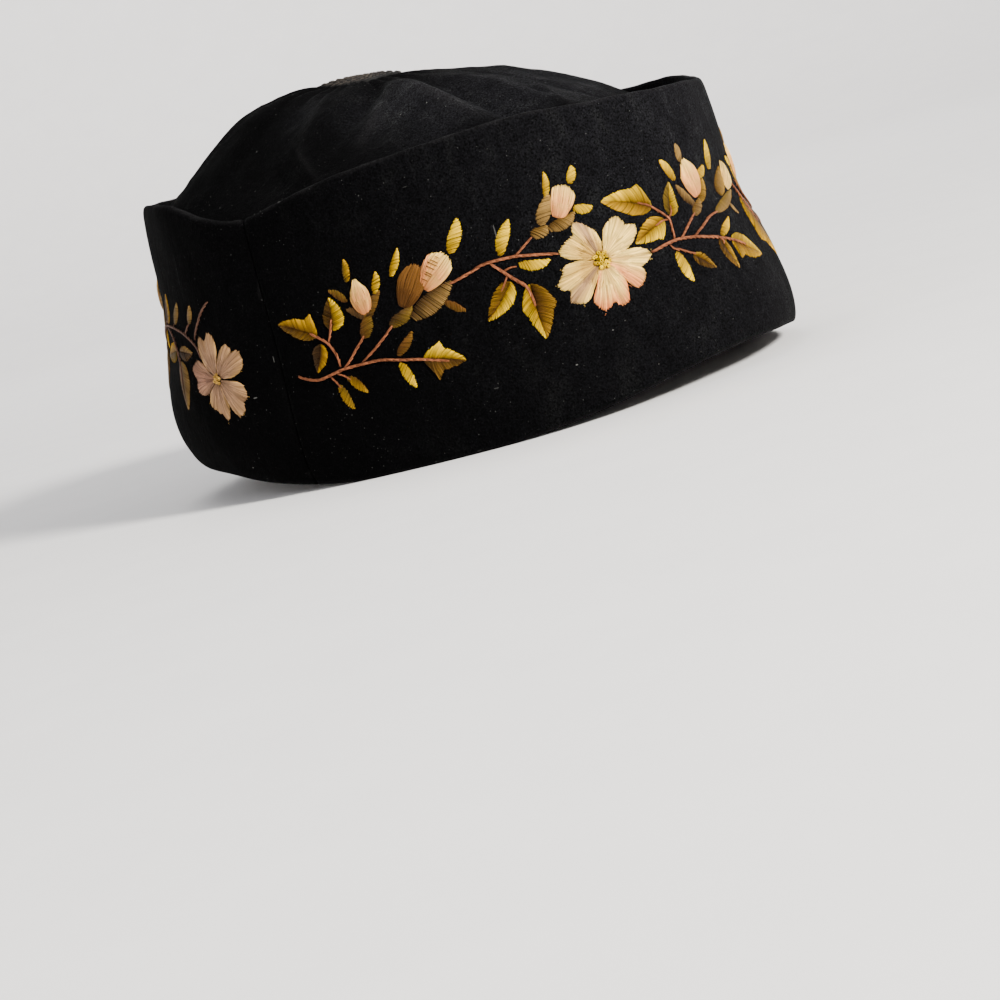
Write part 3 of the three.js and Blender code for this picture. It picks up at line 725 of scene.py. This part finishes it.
def cord_material():
    """Faded black silk cord: brown where the plies are rubbed, with a painted highlight on their
    crests and painted shade between them.
    """
    paint = Paint("faded_cord")
    fibre = paint.wave(paint.place("UV"), "X", 1.3, 2.5, 2, 3)
    fade = paint.noise(paint.place(), 160, 4, 0.65)
    # Painted shade in the gaps, rubbing and a painted highlight on the crests
    worn = paint.calc("MULTIPLY", fade, paint.attribute("rub_and_painted_light"))
    tone = paint.ramp(worn, [(0.06, (0.002, 0.0018, 0.0016)), (0.30, (0.012, 0.0085, 0.0065)),
                             (0.62, (0.056, 0.046, 0.033))])
    twisted = paint.mix(1.0, tone, paint.fit(fibre, 0.6, 1.2), "MULTIPLY")
    return paint.done({"Base Color": twisted, "Normal": paint.bump(fibre, 0.5, 0.0002),
                       "Roughness": paint.fit(fade, 0.55, 0.85), "Specular IOR Level": 0.20})


def silk_material(family, shine):
    """Twisted silk: its dye with painted shade and light, faded in patches, with fine strands
    painted lighter and darker where they catch the light.
    """
    paint = Paint(f"{family}_silk")
    strand = paint.wave(paint.place("UV"), "DIAGONAL", 2.6, 1.4, 2, 2)
    fade = paint.noise(paint.place(), 300, 3, 0.6)
    light = paint.fit(strand, 0.78, 1.12)
    worn = paint.fit(fade, 0.84, 1.10, 0.3, 0.7)
    tone = paint.mix(1.0, paint.attribute("dye", "Color"), paint.calc("MULTIPLY", light, worn),
                     "MULTIPLY")
    return paint.done({
        "Base Color": tone, "Specular Tint": paint.mix(1.0, tone, tone, "SCREEN"),
        "Normal": paint.bump(strand, 0.35, 0.0001), "Specular IOR Level": 0.30,
        "Roughness": paint.fit(fade, 0.62 - shine, 0.82 - shine), "Metallic": 0.22})


def floor_material():
    """Plain pale lilac-grey paper with the faintest mottling."""
    paint = Paint("pale_floor")
    mottle = paint.noise(paint.place(), 35, 4, 0.6)
    tone = paint.ramp(mottle, [(0.2, (0.84, 0.825, 0.82)), (0.8, (0.88, 0.865, 0.855))])
    return paint.done({"Base Color": tone, "Normal": paint.bump(mottle, 0.1, 0.001),
                       "Roughness": 0.9, "Specular IOR Level": 0.1})


# Threads


def tubes(paths, normals, radii, sides=5):
    """Closed round threads along rows of points.

    paths and normals are threads x points x 3, radii is threads x points. Gives vertices,
    faces of four and three corners, each vertex's place round and along its thread, and the
    number of the path's point that it stands round."""
    count, length, _ = paths.shape
    heading = unit(np.gradient(paths, axis=1))
    across = unit(np.cross(heading, normals))
    lift = np.cross(across, heading)
    angle = np.arange(sides) / sides * FULL_TURN
    ring = (np.sin(angle)[:, None] * across[:, :, None]
            - np.cos(angle)[:, None] * lift[:, :, None])
    skin = paths[:, :, None] + ring * radii[:, :, None, None]
    tips = (paths[:, [0, -1]]
            + heading[:, [0, -1]] * radii[:, [0, -1], None] * [[[-0.6], [0.6]]])
    each = length * sides + 2
    k = np.arange(sides)
    after = (k + 1) % sides
    i = np.arange(length - 1)[:, None] * sides
    quads = np.stack([i + k, i + k + sides, i + after + sides, i + after], -1).reshape(-1, 4)
    last = (length - 1) * sides
    triangles = np.concatenate([np.stack([k, after, np.full(sides, each - 2)], 1),
                                np.stack([last + after, last + k, np.full(sides, each - 1)], 1)])
    shift = (np.arange(count) * each)[:, None, None]
    run = np.cumsum(np.linalg.norm(np.diff(paths, axis=1), axis=2), 1)
    run = np.concatenate([np.zeros((count, 1)), run], 1)
    point = np.concatenate([np.repeat(np.arange(length), sides), [0, length - 1]])
    point = ((np.arange(count) * length)[:, None] + point).ravel()
    return {
        "vertices": np.concatenate([skin.reshape(count, -1, 3), tips], 1).reshape(-1, 3),
        "quads": (quads[None] + shift).reshape(-1, 4),
        "triangles": (triangles[None] + shift).reshape(-1, 3),
        "around": np.tile(np.concatenate([np.tile(k / sides, length), [0.5, 0.5]]), count),
        "along": run.ravel()[point],
        "point": point,
    }


def thread_mesh(name, bundles, material):
    """One piece of many threads, whose vertices carry their dye with painted shade and light, or
    their rubbing with painted light and shade.
    """
    starts = np.cumsum([0] + [len(b["vertices"]) for b in bundles])
    quads, triangles = (np.concatenate([b[key] + s for b, s in zip(bundles, starts)])
                        for key in ("quads", "triangles"))
    joined = {key: np.concatenate([b[key] for b in bundles])
              for key in bundles[0] if key not in ("quads", "triangles", "point")}
    mesh = bpy.data.meshes.new(name)
    mesh.from_pydata((joined["vertices"] * MM).tolist(), [], quads.tolist() + triangles.tolist())
    corners = np.concatenate([quads.ravel(), triangles.ravel()])
    place = np.stack([joined["around"], joined["along"]], 1)
    layer = mesh.uv_layers.new(name="thread")
    layer.data.foreach_set("uv", place[corners].astype(np.float32).ravel())
    if "dye" in joined:
        colours = np.concatenate([joined["dye"], np.ones((len(place), 1))], 1)
        attribute = mesh.color_attributes.new("dye", "FLOAT_COLOR", "POINT")
        attribute.data.foreach_set("color", colours.astype(np.float32).ravel())
    if "rub_and_painted_light" in joined:
        mark_points(mesh, "rub_and_painted_light", joined["rub_and_painted_light"])
    mesh.shade_smooth()
    mesh.materials.append(material)
    return put_in_scene(name, mesh)


# Button


def surface_tree(piece):
    mesh = piece.data
    return BVHTree.FromPolygons([v.co for v in mesh.vertices], [p.vertices for p in mesh.polygons])


def height_above(piece):
    """Function that gives the height of a piece's top surface at a place in plan, in mm."""
    tree = surface_tree(piece)

    def height(x, y):
        return tree.ray_cast(Vector((x * MM, y * MM, 0.3)), Vector((0, 0, -1)))[0].z / MM
    return height


def button_coil(crown, material):
    """Twisted cord wound flat into a rosette on the crown's centre."""
    height = height_above(crown)
    grid = [(x, y) for x in range(-12, 13, 4) for y in range(-12, 13, 4) if math.hypot(x, y) < 13]
    seat = np.median([height(CROWN_CENTRE[0] + x, CROWN_CENTRE[1] + y) for x, y in grid])
    end = BUTTON_RADIUS - CORD_RADIUS
    share = np.linspace(0, 1, COIL_STEPS)
    radius = np.sqrt(COIL_START ** 2 + share * (end ** 2 - COIL_START ** 2))
    angle = (radius - COIL_START) / (end - COIL_START) * COIL_TURNS * FULL_TURN
    x = CROWN_CENTRE[0] + radius * np.cos(angle)
    y = CROWN_CENTRE[1] + radius * np.sin(angle)
    under = np.array([height(a, b) for a, b in zip(x, y)])
    dome = COIL_DOME * (1 - (radius / end) ** 2)
    z = np.maximum(under, seat - COIL_LOWEST) * COIL_FOLLOWS + seat * (1 - COIL_FOLLOWS)
    z += CORD_RADIUS - COIL_SINK + dome
    z -= smooth_step((share - TUCK_FROM) / (1 - TUCK_FROM)) * TUCK_DEPTH
    middle = np.stack([x, y, z], 1)
    upward = np.tile([0.0, 0.0, 1.0], (COIL_STEPS, 1))
    across = unit(np.cross(unit(np.gradient(middle, axis=0)), upward))
    run = run_of(middle)
    plies = []
    for ply in range(PLIES):
        wind = (run / TWIST_LENGTH + ply / PLIES) * FULL_TURN
        plies.append(middle + PLY_OFFSET * (np.cos(wind)[:, None] * across
                                            + np.sin(wind)[:, None] * upward))
    plies = np.array(plies)
    radii = np.full(plies.shape[:2], PLY_RADIUS)
    bundle = tubes(plies, np.broadcast_to(upward, plies.shape), radii, sides=PLY_SIDES)
    # Painted shade between the plies, and a painted highlight with rubbing on their crests
    crest = bundle["vertices"][:, 2] - np.tile(z, PLIES)[bundle["point"]]
    bundle["rub_and_painted_light"] = smooth_step((crest - 0.45) / 0.85)
    return thread_mesh("button_rosette", [bundle], material)


def button_base(crown, material):
    """Round base under the coil, in the cord's finish, pressed on to the crown."""
    bpy.ops.object.select_all(action="DESELECT")
    seat = height_above(crown)(*CROWN_CENTRE)
    bpy.ops.mesh.primitive_cylinder_add(
        vertices=64, radius=(BUTTON_RADIUS - BASE_INSET) * MM, depth=BASE_THICKNESS * MM,
        location=(CROWN_CENTRE[0] * MM, CROWN_CENTRE[1] * MM, (seat - BASE_SINK) * MM))
    base = bpy.context.active_object
    base.name = "button_base"
    bpy.ops.object.mode_set(mode="EDIT")
    bpy.ops.mesh.select_all(action="SELECT")
    bpy.ops.mesh.bevel(offset=BASE_ROUNDING * MM, segments=3)
    bpy.ops.object.mode_set(mode="OBJECT")
    bpy.ops.object.transform_apply(location=True, rotation=True, scale=True)
    mark_points(base.data, "rub_and_painted_light", np.full(len(base.data.vertices), 0.1))
    base.data.materials.append(material)
    bpy.ops.object.shade_smooth_by_angle(angle=math.radians(40))
    return base


# Embroidery


def band_chart(bands):
    """Outer face of the band as a grid of places and normals, round it and up it."""
    trees = [surface_tree(band) for band in bands]
    turns = np.radians(np.linspace(-180, 180, CHART_TURNS + 1))
    ups = np.arange(CHART_LOW, CHART_HIGH + 1)
    far, deep = 200, 160
    reach = np.full((len(turns), len(ups)), np.nan)
    for i, turn in enumerate(turns):
        outward = Vector((-math.sin(turn), -math.cos(turn), 0))
        for k, up in enumerate(ups):
            start = outward * (far * MM) + Vector((0, 0, up * MM))
            for tree in trees:
                hit, normal, _, distance = tree.ray_cast(start, -outward, deep * MM)
                if hit is not None and normal.dot(outward) > 0.3:
                    reach[i, k] = np.nanmax([reach[i, k], far - distance / MM])
    for k in range(len(ups)):
        known = np.flatnonzero(~np.isnan(reach[:, k]))
        if len(known) > CHART_TURNS // 4:
            reach[:, k] = np.interp(np.arange(len(turns)), known, reach[known, k])
        else:
            reach[:, k] = reach[:, k - 1]
    places = np.stack([-np.sin(turns)[:, None] * reach, -np.cos(turns)[:, None] * reach,
                       np.broadcast_to(ups.astype(float), reach.shape)], -1)
    normals = unit(np.cross(np.gradient(places, axis=1), np.gradient(places, axis=0)))
    normals *= np.sign((normals * places * [1, 1, 0]).sum(2, keepdims=True))
    along = run_of(places[:, CHART_LEVEL - CHART_LOW, :2])
    return {"places": places, "normals": normals, "along": along - along[CHART_TURNS // 2]}


def on_band(chart, flat, lift):
    """Places in the room, and normals there, for flat places lifted off the velvet."""
    half = chart["along"][-1]
    along = (flat[..., 0] + half) % (2 * half) - half
    i = np.interp(along, chart["along"], np.arange(CHART_TURNS + 1))
    k = np.clip(flat[..., 1] - CHART_LOW, 0, CHART_HIGH - CHART_LOW - 0.001)
    i0, k0 = np.clip(i.astype(int), 0, CHART_TURNS - 1), k.astype(int)
    a, b = (i - i0)[..., None], (k - k0)[..., None]

    def blend(grid):
        return ((grid[i0, k0] * (1 - a) + grid[i0 + 1, k0] * a) * (1 - b)
                + (grid[i0, k0 + 1] * (1 - a) + grid[i0 + 1, k0 + 1] * a) * b)
    normals = blend(chart["normals"])
    return blend(chart["places"]) + normals * lift[..., None], normals


def stitches(silk, start, end, near, far, radius=THREAD_RADIUS, arch=0.35, lifts=(-0.25, -0.25),
             bow=0.0):
    """Straight or bowed stitches of one silk from start to end, both flat, coloured near to far:
    from painted shade at the root to painted light at the end.
    """
    made = {"start": start, "end": end, "near": near, "far": far, "radius": radius,
            "arch": arch, "from_lift": lifts[0], "to_lift": lifts[1], "bow": bow}
    for key, value in made.items():
        value = np.asarray(value, float)
        made[key] = np.broadcast_to(value, (len(start), *value.shape[1:]))
    return {"family": SILKS[silk][0], **made}


def shade(silk, place):
    """Colour of a silk between the painted shadow at its stitch's root and its lit end."""
    root, end = np.array(SILKS[silk][1:])
    return root + (end - root) * np.asarray(place, float)[..., None]


def uneven(colours, chance, amount=0.16):
    """The same colours, lighter or darker from stitch to stitch, a few of them in shadow."""
    shadow = np.where(chance.random(len(colours)) < SHADOWED_SHARE, SHADOW, 1.0)
    return colours * (np.exp(chance.normal(0, amount, len(colours))) * shadow)[:, None]


def bowed_line(base, tip, bow):
    """Function from a share of the way to the place there and its side, and the length."""
    base, tip = np.array(base, float), np.array(tip, float)
    run = tip - base
    length = np.linalg.norm(run)
    side = left_of(run) / length

    def at(share):
        share = np.asarray(share, float)[:, None]
        place = base + run * share + side * bow * 4 * share * (1 - share)
        return place, left_of(unit(run + side * bow * 4 * (1 - 2 * share)))
    return at, length


def smooth_line(corners, count):
    """Evenly spaced places along a smooth curve through the corners."""
    padded = np.concatenate([[2 * corners[0] - corners[1]], corners,
                             [2 * corners[-1] - corners[-2]]])
    t = np.linspace(0, 1, 12, endpoint=False)[:, None]
    dense = [0.5 * (2 * b + (c - a) * t + (2 * a - 5 * b + 4 * c - d) * t ** 2
                    + (3 * b - a - 3 * c + d) * t ** 3)
             for a, b, c, d in zip(padded, padded[1:], padded[2:], padded[3:])]
    dense = np.concatenate([*dense, corners[-1:]])
    run = run_of(dense)
    even = np.linspace(0, run[-1], count)
    return np.stack([np.interp(even, run, dense[:, k]) for k in (0, 1)], 1)


def leaf_reach(width, tooth, at, share):
    """How far one half of a leaf reaches out from its midrib, along the leaf."""
    saw = np.where(share < at, 1 - (at - share) / 0.24, 1 - (share - at) / 0.12)
    body = width * np.sin(np.pi * np.clip(share, 0, 1) ** 0.74) ** 0.8
    return body + tooth * np.clip(saw, 0, 1) ** 1.3


def leaf_stitches(row, chance):
    """Both halves of a leaf in fishbone stitch, which meet in a groove at its midrib."""
    base, tip, bow, heel, *halves, at = row
    line, length = bowed_line(base, tip, bow)
    made = []
    for sign, (width, tooth, silk) in ((1, halves[:3]), (-1, halves[3:])):
        fine = np.linspace(0, 1, 120)
        run_out = leaf_reach(width, tooth, at, fine)
        around = run_of(np.stack([run_out, fine * length], 1))
        count = int(around[-1] / THREAD_STEP * 1.02)
        share = np.interp((np.arange(count) + 0.5) / count * around[-1], around, fine)
        reach = leaf_reach(width, tooth, at, share) + chance.normal(0, 0.12, count)
        edge_share = -heel + (1.02 + heel) * share
        rib, rib_side = line(np.clip(edge_share - 0.20 + 0.05 * share, 0.0, 0.93))
        edge, edge_side = line(edge_share)
        start = rib - sign * rib_side * 0.12
        end = edge + sign * edge_side * np.clip(reach, 0.12, None)[:, None]
        depth = 0.5 + 0.5 * np.sin(share * 5 + length)
        shaded = (0.55 + 0.45 * smooth_step(share / 0.5))[:, None]
        near = uneven(shade(silk, 0.14 * depth), chance, 0.22) * shaded
        far = uneven(shade(silk, 0.55 + 0.45 * depth), chance, 0.22) * shaded
        made.append(stitches(silk, start, end, near, far, arch=0.16 + 0.075 * reach,
                             lifts=(-0.05, -0.25), bow=sign * 0.05 * reach))
    return made


def blade_stitches(row, chance, step=THREAD_STEP, slant=0.55, raised=0.12):
    """A small leaf or sepal in slanted satin stitch from edge to edge."""
    base, tip, width, bow, silk, edge_silk = row
    line, length = bowed_line(base, tip, bow)
    count = max(int(length / step * 1.1), 6)
    share = (np.arange(count) + 0.5 + chance.uniform(-0.3, 0.3, count)) / count
    reach = width / 2 * np.sin(np.pi * (0.04 + 0.94 * share) ** 0.85) ** 0.72
    reach = np.clip(reach + chance.normal(0, 0.08, count), 0.15, None)
    slide = slant * reach / length
    right, side = line(np.clip(share + slide, -0.02, 1.02))
    left, other = line(np.clip(share - slide, -0.02, 1.02))
    lit = np.clip(0.15 + 0.75 * share + 0.1 * np.sin(share * 7 + length), 0, 1)
    near = uneven(shade(silk, lit * 0.75), chance)
    far = uneven(shade(edge_silk, 0.25 + 0.7 * lit), chance)
    return [stitches(silk, left - other * reach[:, None], right + side * reach[:, None],
                     near, far, arch=0.22 + raised * reach, bow=-0.06 * reach)]


def barred_stitches(row, chance):
    """A broad form in spaced stitches."""
    return blade_stitches(row, chance, step=BAR_STEP, slant=0.25, raised=0.20)


def tick_stitches(row, chance):
    """Fine stitches in a row, raised on to the bud that they lie over."""
    (ticks,) = blade_stitches(row, chance, step=TICK_STEP, slant=0.1, raised=0.10)
    return [{**ticks, "radius": ticks["radius"] * TICK_THINNER,
             "from_lift": ticks["from_lift"] + TICK_LIFT, "to_lift": ticks["to_lift"] + TICK_LIFT}]


def bud_stitches(row, chance):
    """A padded bud worked lengthways in two overlapping layers."""
    base, tip, width, blunt, raised, silk, edge_silk = row
    line, length = bowed_line(base, tip, 0.0)
    made = []
    for layer, (begin, finish) in enumerate(((0.0, 0.62), (0.30, 1.0))):
        count = int(width / THREAD_STEP * 1.25)
        place = np.linspace(-0.97, 0.97, count) + chance.normal(0, 0.015, count)
        span = np.array([begin, (begin + finish) / 2, finish]) * (0.90 - 0.42 * blunt) + 0.08
        near_reach, mid_reach, far_reach = (np.sin(np.pi * span) ** (1.15 - 0.5 * blunt)
                                            * width / 2)
        jitter = chance.normal(0, 0.035, (2, count))
        from_share = np.clip(begin + jitter[0] * (begin > 0), 0, 1)
        rounding = 1 - 0.16 * place ** 2 if finish == 1.0 else 1.0
        to_share = np.clip(finish * rounding + jitter[1] * (0.5 + 0.5 * (finish < 1)), 0, 1.03)
        root, side = line(from_share)
        head, other = line(to_share)
        dome = raised * np.sqrt(1 - place ** 2 * 0.95)
        # Painted shade on the inner layer and one side of the bud, painted light on the outer
        # layer and the other side
        tone = 0.4 + 0.5 * layer + 0.15 * place
        near = uneven(shade(silk, tone * 0.6), chance, 0.16)
        far = uneven(shade(edge_silk, tone), chance, 0.16)
        made.append(stitches(
            silk, root + side * (place * near_reach)[:, None],
            head + other * (place * far_reach)[:, None], near, far, arch=0.15 + dome * 0.55,
            lifts=(dome * 0.55, -0.2) if layer else (-0.2, dome * 0.5),
            bow=place * (mid_reach - (near_reach + far_reach) / 2)))
    return made


def petal_stitches(flower, petal, chance):
    """A petal in long-and-short stitch, fanned from the flower's centre to its own edge."""
    silk, tip_silk, (flush_silk, flush_at, flush_width), edge = petal
    corners = np.array(edge, float)
    count = int(run_of(corners)[-1] / THREAD_STEP * 0.98)
    outline = smooth_line(corners, count)
    ray = outline - flower["centre"]
    far_off = np.linalg.norm(ray, axis=1)
    outward = ray / far_off[:, None]
    outline += outward * chance.normal(0, 0.16, count)[:, None]
    share = np.linspace(-1, 1, count)
    inner = flower["centre"] + outward * flower["eye"] * 0.75
    streak = 0.5 + 0.3 * np.sin(share * 9 + far_off[0]) + 0.2 * np.sin(share * 23)
    cup = 0.035 * far_off * -np.sign(share) * np.abs(share) ** 0.5
    flush = (0.85 * np.exp(-((share - flush_at) / flush_width) ** 2))[:, None]

    # Petal colours between painted shade and painted light, streaked and flushed
    def dyed_and_lit(name, place):
        plain = shade(name, place)
        flushed = shade(flush_silk, 0.35 + 0.5 * place)
        return uneven(plain + (flushed - plain) * flush, chance, 0.24)
    thin = slice(None, None, 2)
    reach = np.clip(0.60 + chance.normal(0, 0.08, count), 0.4, 0.85)[:, None]
    made = [stitches(silk, inner[thin], (inner + (outline - inner) * reach)[thin],
                     dyed_and_lit(silk, 0.05 + 0.4 * streak)[thin], dyed_and_lit(silk, 0.40 + 0.5 * streak)[thin],
                     arch=0.30, lifts=(0.0, 0.20), bow=cup[thin])]
    begin = np.clip(0.34 + chance.normal(0, 0.09, count), 0.1, 0.6)[:, None]
    made.append(stitches(silk, inner + (outline - inner) * begin, outline,
                         dyed_and_lit(silk, 0.50 + 0.4 * streak), dyed_and_lit(tip_silk, 0.55 + 0.4 * streak),
                         arch=0.34, lifts=(0.22, -0.22), bow=cup * 0.6))
    stray = chance.choice(count, max(count // 22, 2), replace=False)
    off = chance.normal(0, 0.35, (len(stray), 2))
    off = off + outward[stray] * chance.uniform(0.1, 0.55, (len(stray), 1))
    tone = shade(tip_silk, np.full(len(stray), 0.7))
    made.append(stitches(silk, outline[stray], outline[stray] + off, tone, tone, radius=0.035,
                         arch=chance.uniform(0.1, 0.4, len(stray)), lifts=(-0.1, 0.1),
                         bow=chance.normal(0, 0.2, len(stray))))
    return made


def stem_stitches(row, chance):
    """A stem in stem stitch: overlapping slanted stitches that lie like a rope."""
    silk, width, *corners = row
    corners = np.array(corners, float)
    length = run_of(corners)[-1]
    fine = smooth_line(corners, max(int(length / 0.25), 8))
    side = left_of(unit(np.gradient(fine, axis=0)))
    last_one = len(fine) - 1
    step = length / last_one
    begin = np.arange(-STEM_STITCH * 0.4, length - STEM_STITCH * 0.35, STEM_ADVANCE)
    first, last = (np.clip((at / step).round().astype(int), 0, last_one)
                   for at in (begin, begin + STEM_STITCH))
    taper = 0.55 + 0.45 * np.minimum(smooth_step((begin + STEM_STITCH) / 9),
                                     smooth_step((length - begin) / 9))
    offset = width * 0.14
    start, end = fine[first] - side[first] * offset, fine[last] + side[last] * offset
    turned = left_of(unit(end - start))
    bow = ((fine[(first + last) // 2] - (start + end) / 2) * turned).sum(1)
    made = []
    for ply in (-1, 1):
        shift = turned * ply * width * 0.10
        near = uneven(shade(silk, chance.uniform(0, 0.4, len(start))), chance, 0.2)
        far = uneven(shade(silk, chance.uniform(0.4, 1, len(start))), chance, 0.2)
        made.append(stitches(silk, start + shift, end + shift, near, far, arch=0.55,
                             radius=width * 0.19 * taper, lifts=(-0.10, -0.10), bow=bow))
    return made


def knot_paths(flower, chance):
    """French knots massed in the eye of a flower: coils of thread, flat places and lifts."""
    count = int(flower["eye"] ** 2 * 3.0)
    order = np.arange(count)
    radius = flower["eye"] * 0.88 * np.sqrt((order + 0.5) / count)
    turn = order * KNOT_SPIRAL + chance.normal(0, 0.25, count)
    middle = flower["centre"] + radius[:, None] * np.stack([np.cos(turn), np.sin(turn)], 1)
    t = np.linspace(0, 1, 13)
    wind = chance.uniform(0, FULL_TURN, count)[:, None] + t * FULL_TURN * KNOT_TURNS
    size = KNOT_SIZE * (1 - 0.25 * t) * chance.uniform(0.85, 1.15, count)[:, None]
    flat = middle[:, None] + np.stack([np.cos(wind) * size, np.sin(wind) * size], -1)
    lift = 0.30 + 0.55 * t + chance.uniform(0, 0.25, count)[:, None]
    return flat, lift


def sew(chart, made, side):
    """Threads on the band for one set of stitches; side -1 mirrors them to the other side."""
    t = STITCH_STEPS[None, :]
    run = made["end"] - made["start"]
    hump = 4 * t * (1 - t)
    flat = (made["start"][:, None] + run[:, None] * t[..., None]
            + left_of(unit(run))[:, None] * (made["bow"][:, None] * hump)[..., None])
    lift = (made["from_lift"][:, None] * (1 - t) + made["to_lift"][:, None] * t
            + made["arch"][:, None] * hump ** 0.6)
    places, normals = on_band(chart, flat * [side, 1], lift)
    bundle = tubes(places, normals, made["radius"][:, None] * STITCH_TAPER)
    # Painted shade at each stitch's root, blending to painted light at its end
    tip = t[..., None] ** 1.4
    colours = made["near"][:, None] * (1 - tip) + made["far"][:, None] * tip
    bundle["dye"] = colours.reshape(-1, 3)[bundle["point"]]
    return bundle


def sew_knots(chart, flower, side, chance):
    """The knots of a flower's eye, on the band."""
    flat, lift = knot_paths(flower, chance)
    places, normals = on_band(chart, flat * [side, 1], lift)
    radii = np.full(lift.shape, KNOT_RADIUS)
    radii[:, [0, -1]] = KNOT_TIP_RADIUS
    bundle = tubes(places, normals, radii)
    colours = uneven(shade(flower["knots"], chance.uniform(0.2, 1, len(flat))), chance)
    bundle["dye"] = np.repeat(colours, lift.shape[1], axis=0)[bundle["point"]]
    return bundle


def spray(tables, flower, chance):
    """All stitches of one spray, in the order they are worked."""
    order = (("leaves", leaf_stitches), ("stems", stem_stitches), ("barred", barred_stitches),
             ("blades", blade_stitches), ("buds", bud_stitches), ("ticks", tick_stitches))
    made = []
    for key, work in order:
        for row in tables.get(key, []):
            made += work(row, chance)
    for petal in flower["petals"]:
        made += petal_stitches(flower, petal, chance)
    return made


def embroider(chart, area, sides, tables, flower, silks):
    """Thread pieces of one area of the band, one for each family of silk."""
    bundles = {}
    for count, side in enumerate(sides):
        chance = np.random.default_rng(SEED + 10 * count + len(area))
        for made in spray(tables, flower, chance):
            bundles.setdefault(made["family"], []).append(sew(chart, made, side))
        bundles["gold"].append(sew_knots(chart, flower, side, chance))
    pieces = []
    for family, threads in sorted(bundles.items()):
        piece = thread_mesh(f"{family}_silk_{area}", threads, silks[family])
        pieces.append(piece)
    return pieces


# Studio


def pale_floor(material):
    """Round floor that sweeps up into a low wall all round, so that no edge shows."""
    bpy.ops.object.select_all(action="DESELECT")
    radius, height = FLOOR_RINGS[0]
    bpy.ops.mesh.primitive_circle_add(vertices=96, radius=radius, fill_type="NGON")
    floor = bpy.context.active_object
    floor.name = "floor"
    bpy.ops.object.mode_set(mode="EDIT")
    bpy.ops.mesh.select_mode(type="EDGE")
    bpy.ops.mesh.select_all(action="SELECT")
    bpy.ops.mesh.region_to_loop()
    for next_radius, next_height in FLOOR_RINGS[1:]:
        widen = next_radius / radius
        bpy.ops.mesh.extrude_region_move(
            TRANSFORM_OT_translate={"value": (0, 0, next_height - height)})
        bpy.ops.transform.resize(value=(widen, widen, 1))
        radius, height = next_radius, next_height
    bpy.ops.mesh.select_all(action="SELECT")
    bpy.ops.mesh.normals_make_consistent(inside=True)
    bpy.ops.object.mode_set(mode="OBJECT")
    bpy.ops.object.shade_smooth_by_angle(angle=math.radians(50))
    floor.data.materials.append(material)


def soft_light(name, place, aim, size, power, colour):
    light = bpy.data.lights.new(name, "AREA")
    light.shape = "DISK"
    light.size = size
    light.energy = power
    light.color = colour
    lamp = put_in_scene(name, light)
    lamp.location = place
    lamp.rotation_euler = (Vector(aim) - Vector(place)).to_track_quat("-Z", "Y").to_euler()


def studio():
    """Soft window light with the air's own light, and faint lights that fill the shadows."""
    world = bpy.data.worlds.new("studio_air")
    world.use_nodes = True
    air = world.node_tree.nodes["Background"].inputs
    air["Color"].default_value = AIR_COLOUR
    air["Strength"].default_value = AIR_STRENGTH
    bpy.context.scene.world = world
    for light in LIGHTS:
        soft_light(*light)


def camera():
    """The photo's view, but from just above the floor."""
    lens = bpy.data.cameras.new("camera")
    lens.sensor_width = 36
    lens.lens = CAMERA_LENS
    lens.clip_start, lens.clip_end = 0.02, 20
    eye = put_in_scene("camera", lens)
    look = Vector(CAMERA_AIM) - Vector(CAMERA_PLACE)
    level = look.to_track_quat("-Z", "Y").to_matrix()
    turned = level @ Matrix.Rotation(-math.radians(CAMERA_ROLL), 3, "Z")
    eye.matrix_world = Matrix.Translation(CAMERA_PLACE) @ turned.to_4x4()
    bpy.context.scene.camera = eye


camera()
studio()
pale_floor(floor_material())

velvet = velvet_material()
lining = lining_material()
cord = cord_material()

bands = []
for node, name in (("band_front", "velvet_band_front"), ("band_back", "velvet_band_back")):
    band = velvet_from(node, name, 2)
    shape_band(band)
    dress(band, velvet, lining, on_inner_wall)
    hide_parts(node)
    bands.append(band)

crown = velvet_from("crown", "velvet_crown", 2)
shape_crown(crown)
dress(crown, velvet, lining, under_crown)
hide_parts("crown")

rosette = button_coil(crown, cord)
base = button_base(crown, cord)
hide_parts("crown_button")

silks = {family: silk_material(family, shine) for family, shine in SHINE.items()}
side_rows = {"leaves": SIDE_LEAVES, "blades": SIDE_BLADES, "buds": SIDE_BUDS,
             "barred": SIDE_BARRED, "ticks": SIDE_TICKS,
             "stems": [("madder", *stem) for stem in SIDE_STEMS]}
front_rows = {"leaves": FRONT_LEAVES, "blades": FRONT_BLADES, "buds": FRONT_BUDS,
              "stems": [("madder", *stem) for stem in FRONT_STEMS]}
back_rows = {"leaves": BACK_LEAVES, "blades": BACK_BLADES, "buds": BACK_BUDS,
             "stems": [("plum", *stem) for stem in BACK_STEMS]}
right_rows = {key: rows + front_rows.get(key, []) for key, rows in side_rows.items()}
chart = band_chart(bands)
threads = [*embroider(chart, "right", [1], right_rows, SIDE_FLOWER, silks),
           *embroider(chart, "left", [-1], side_rows, SIDE_FLOWER, silks),
           *embroider(chart, "back", [1, -1], back_rows, BACK_FLOWER, silks)]

for piece in [*bands, crown, rosette, base, *threads]:
    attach(piece, "root")
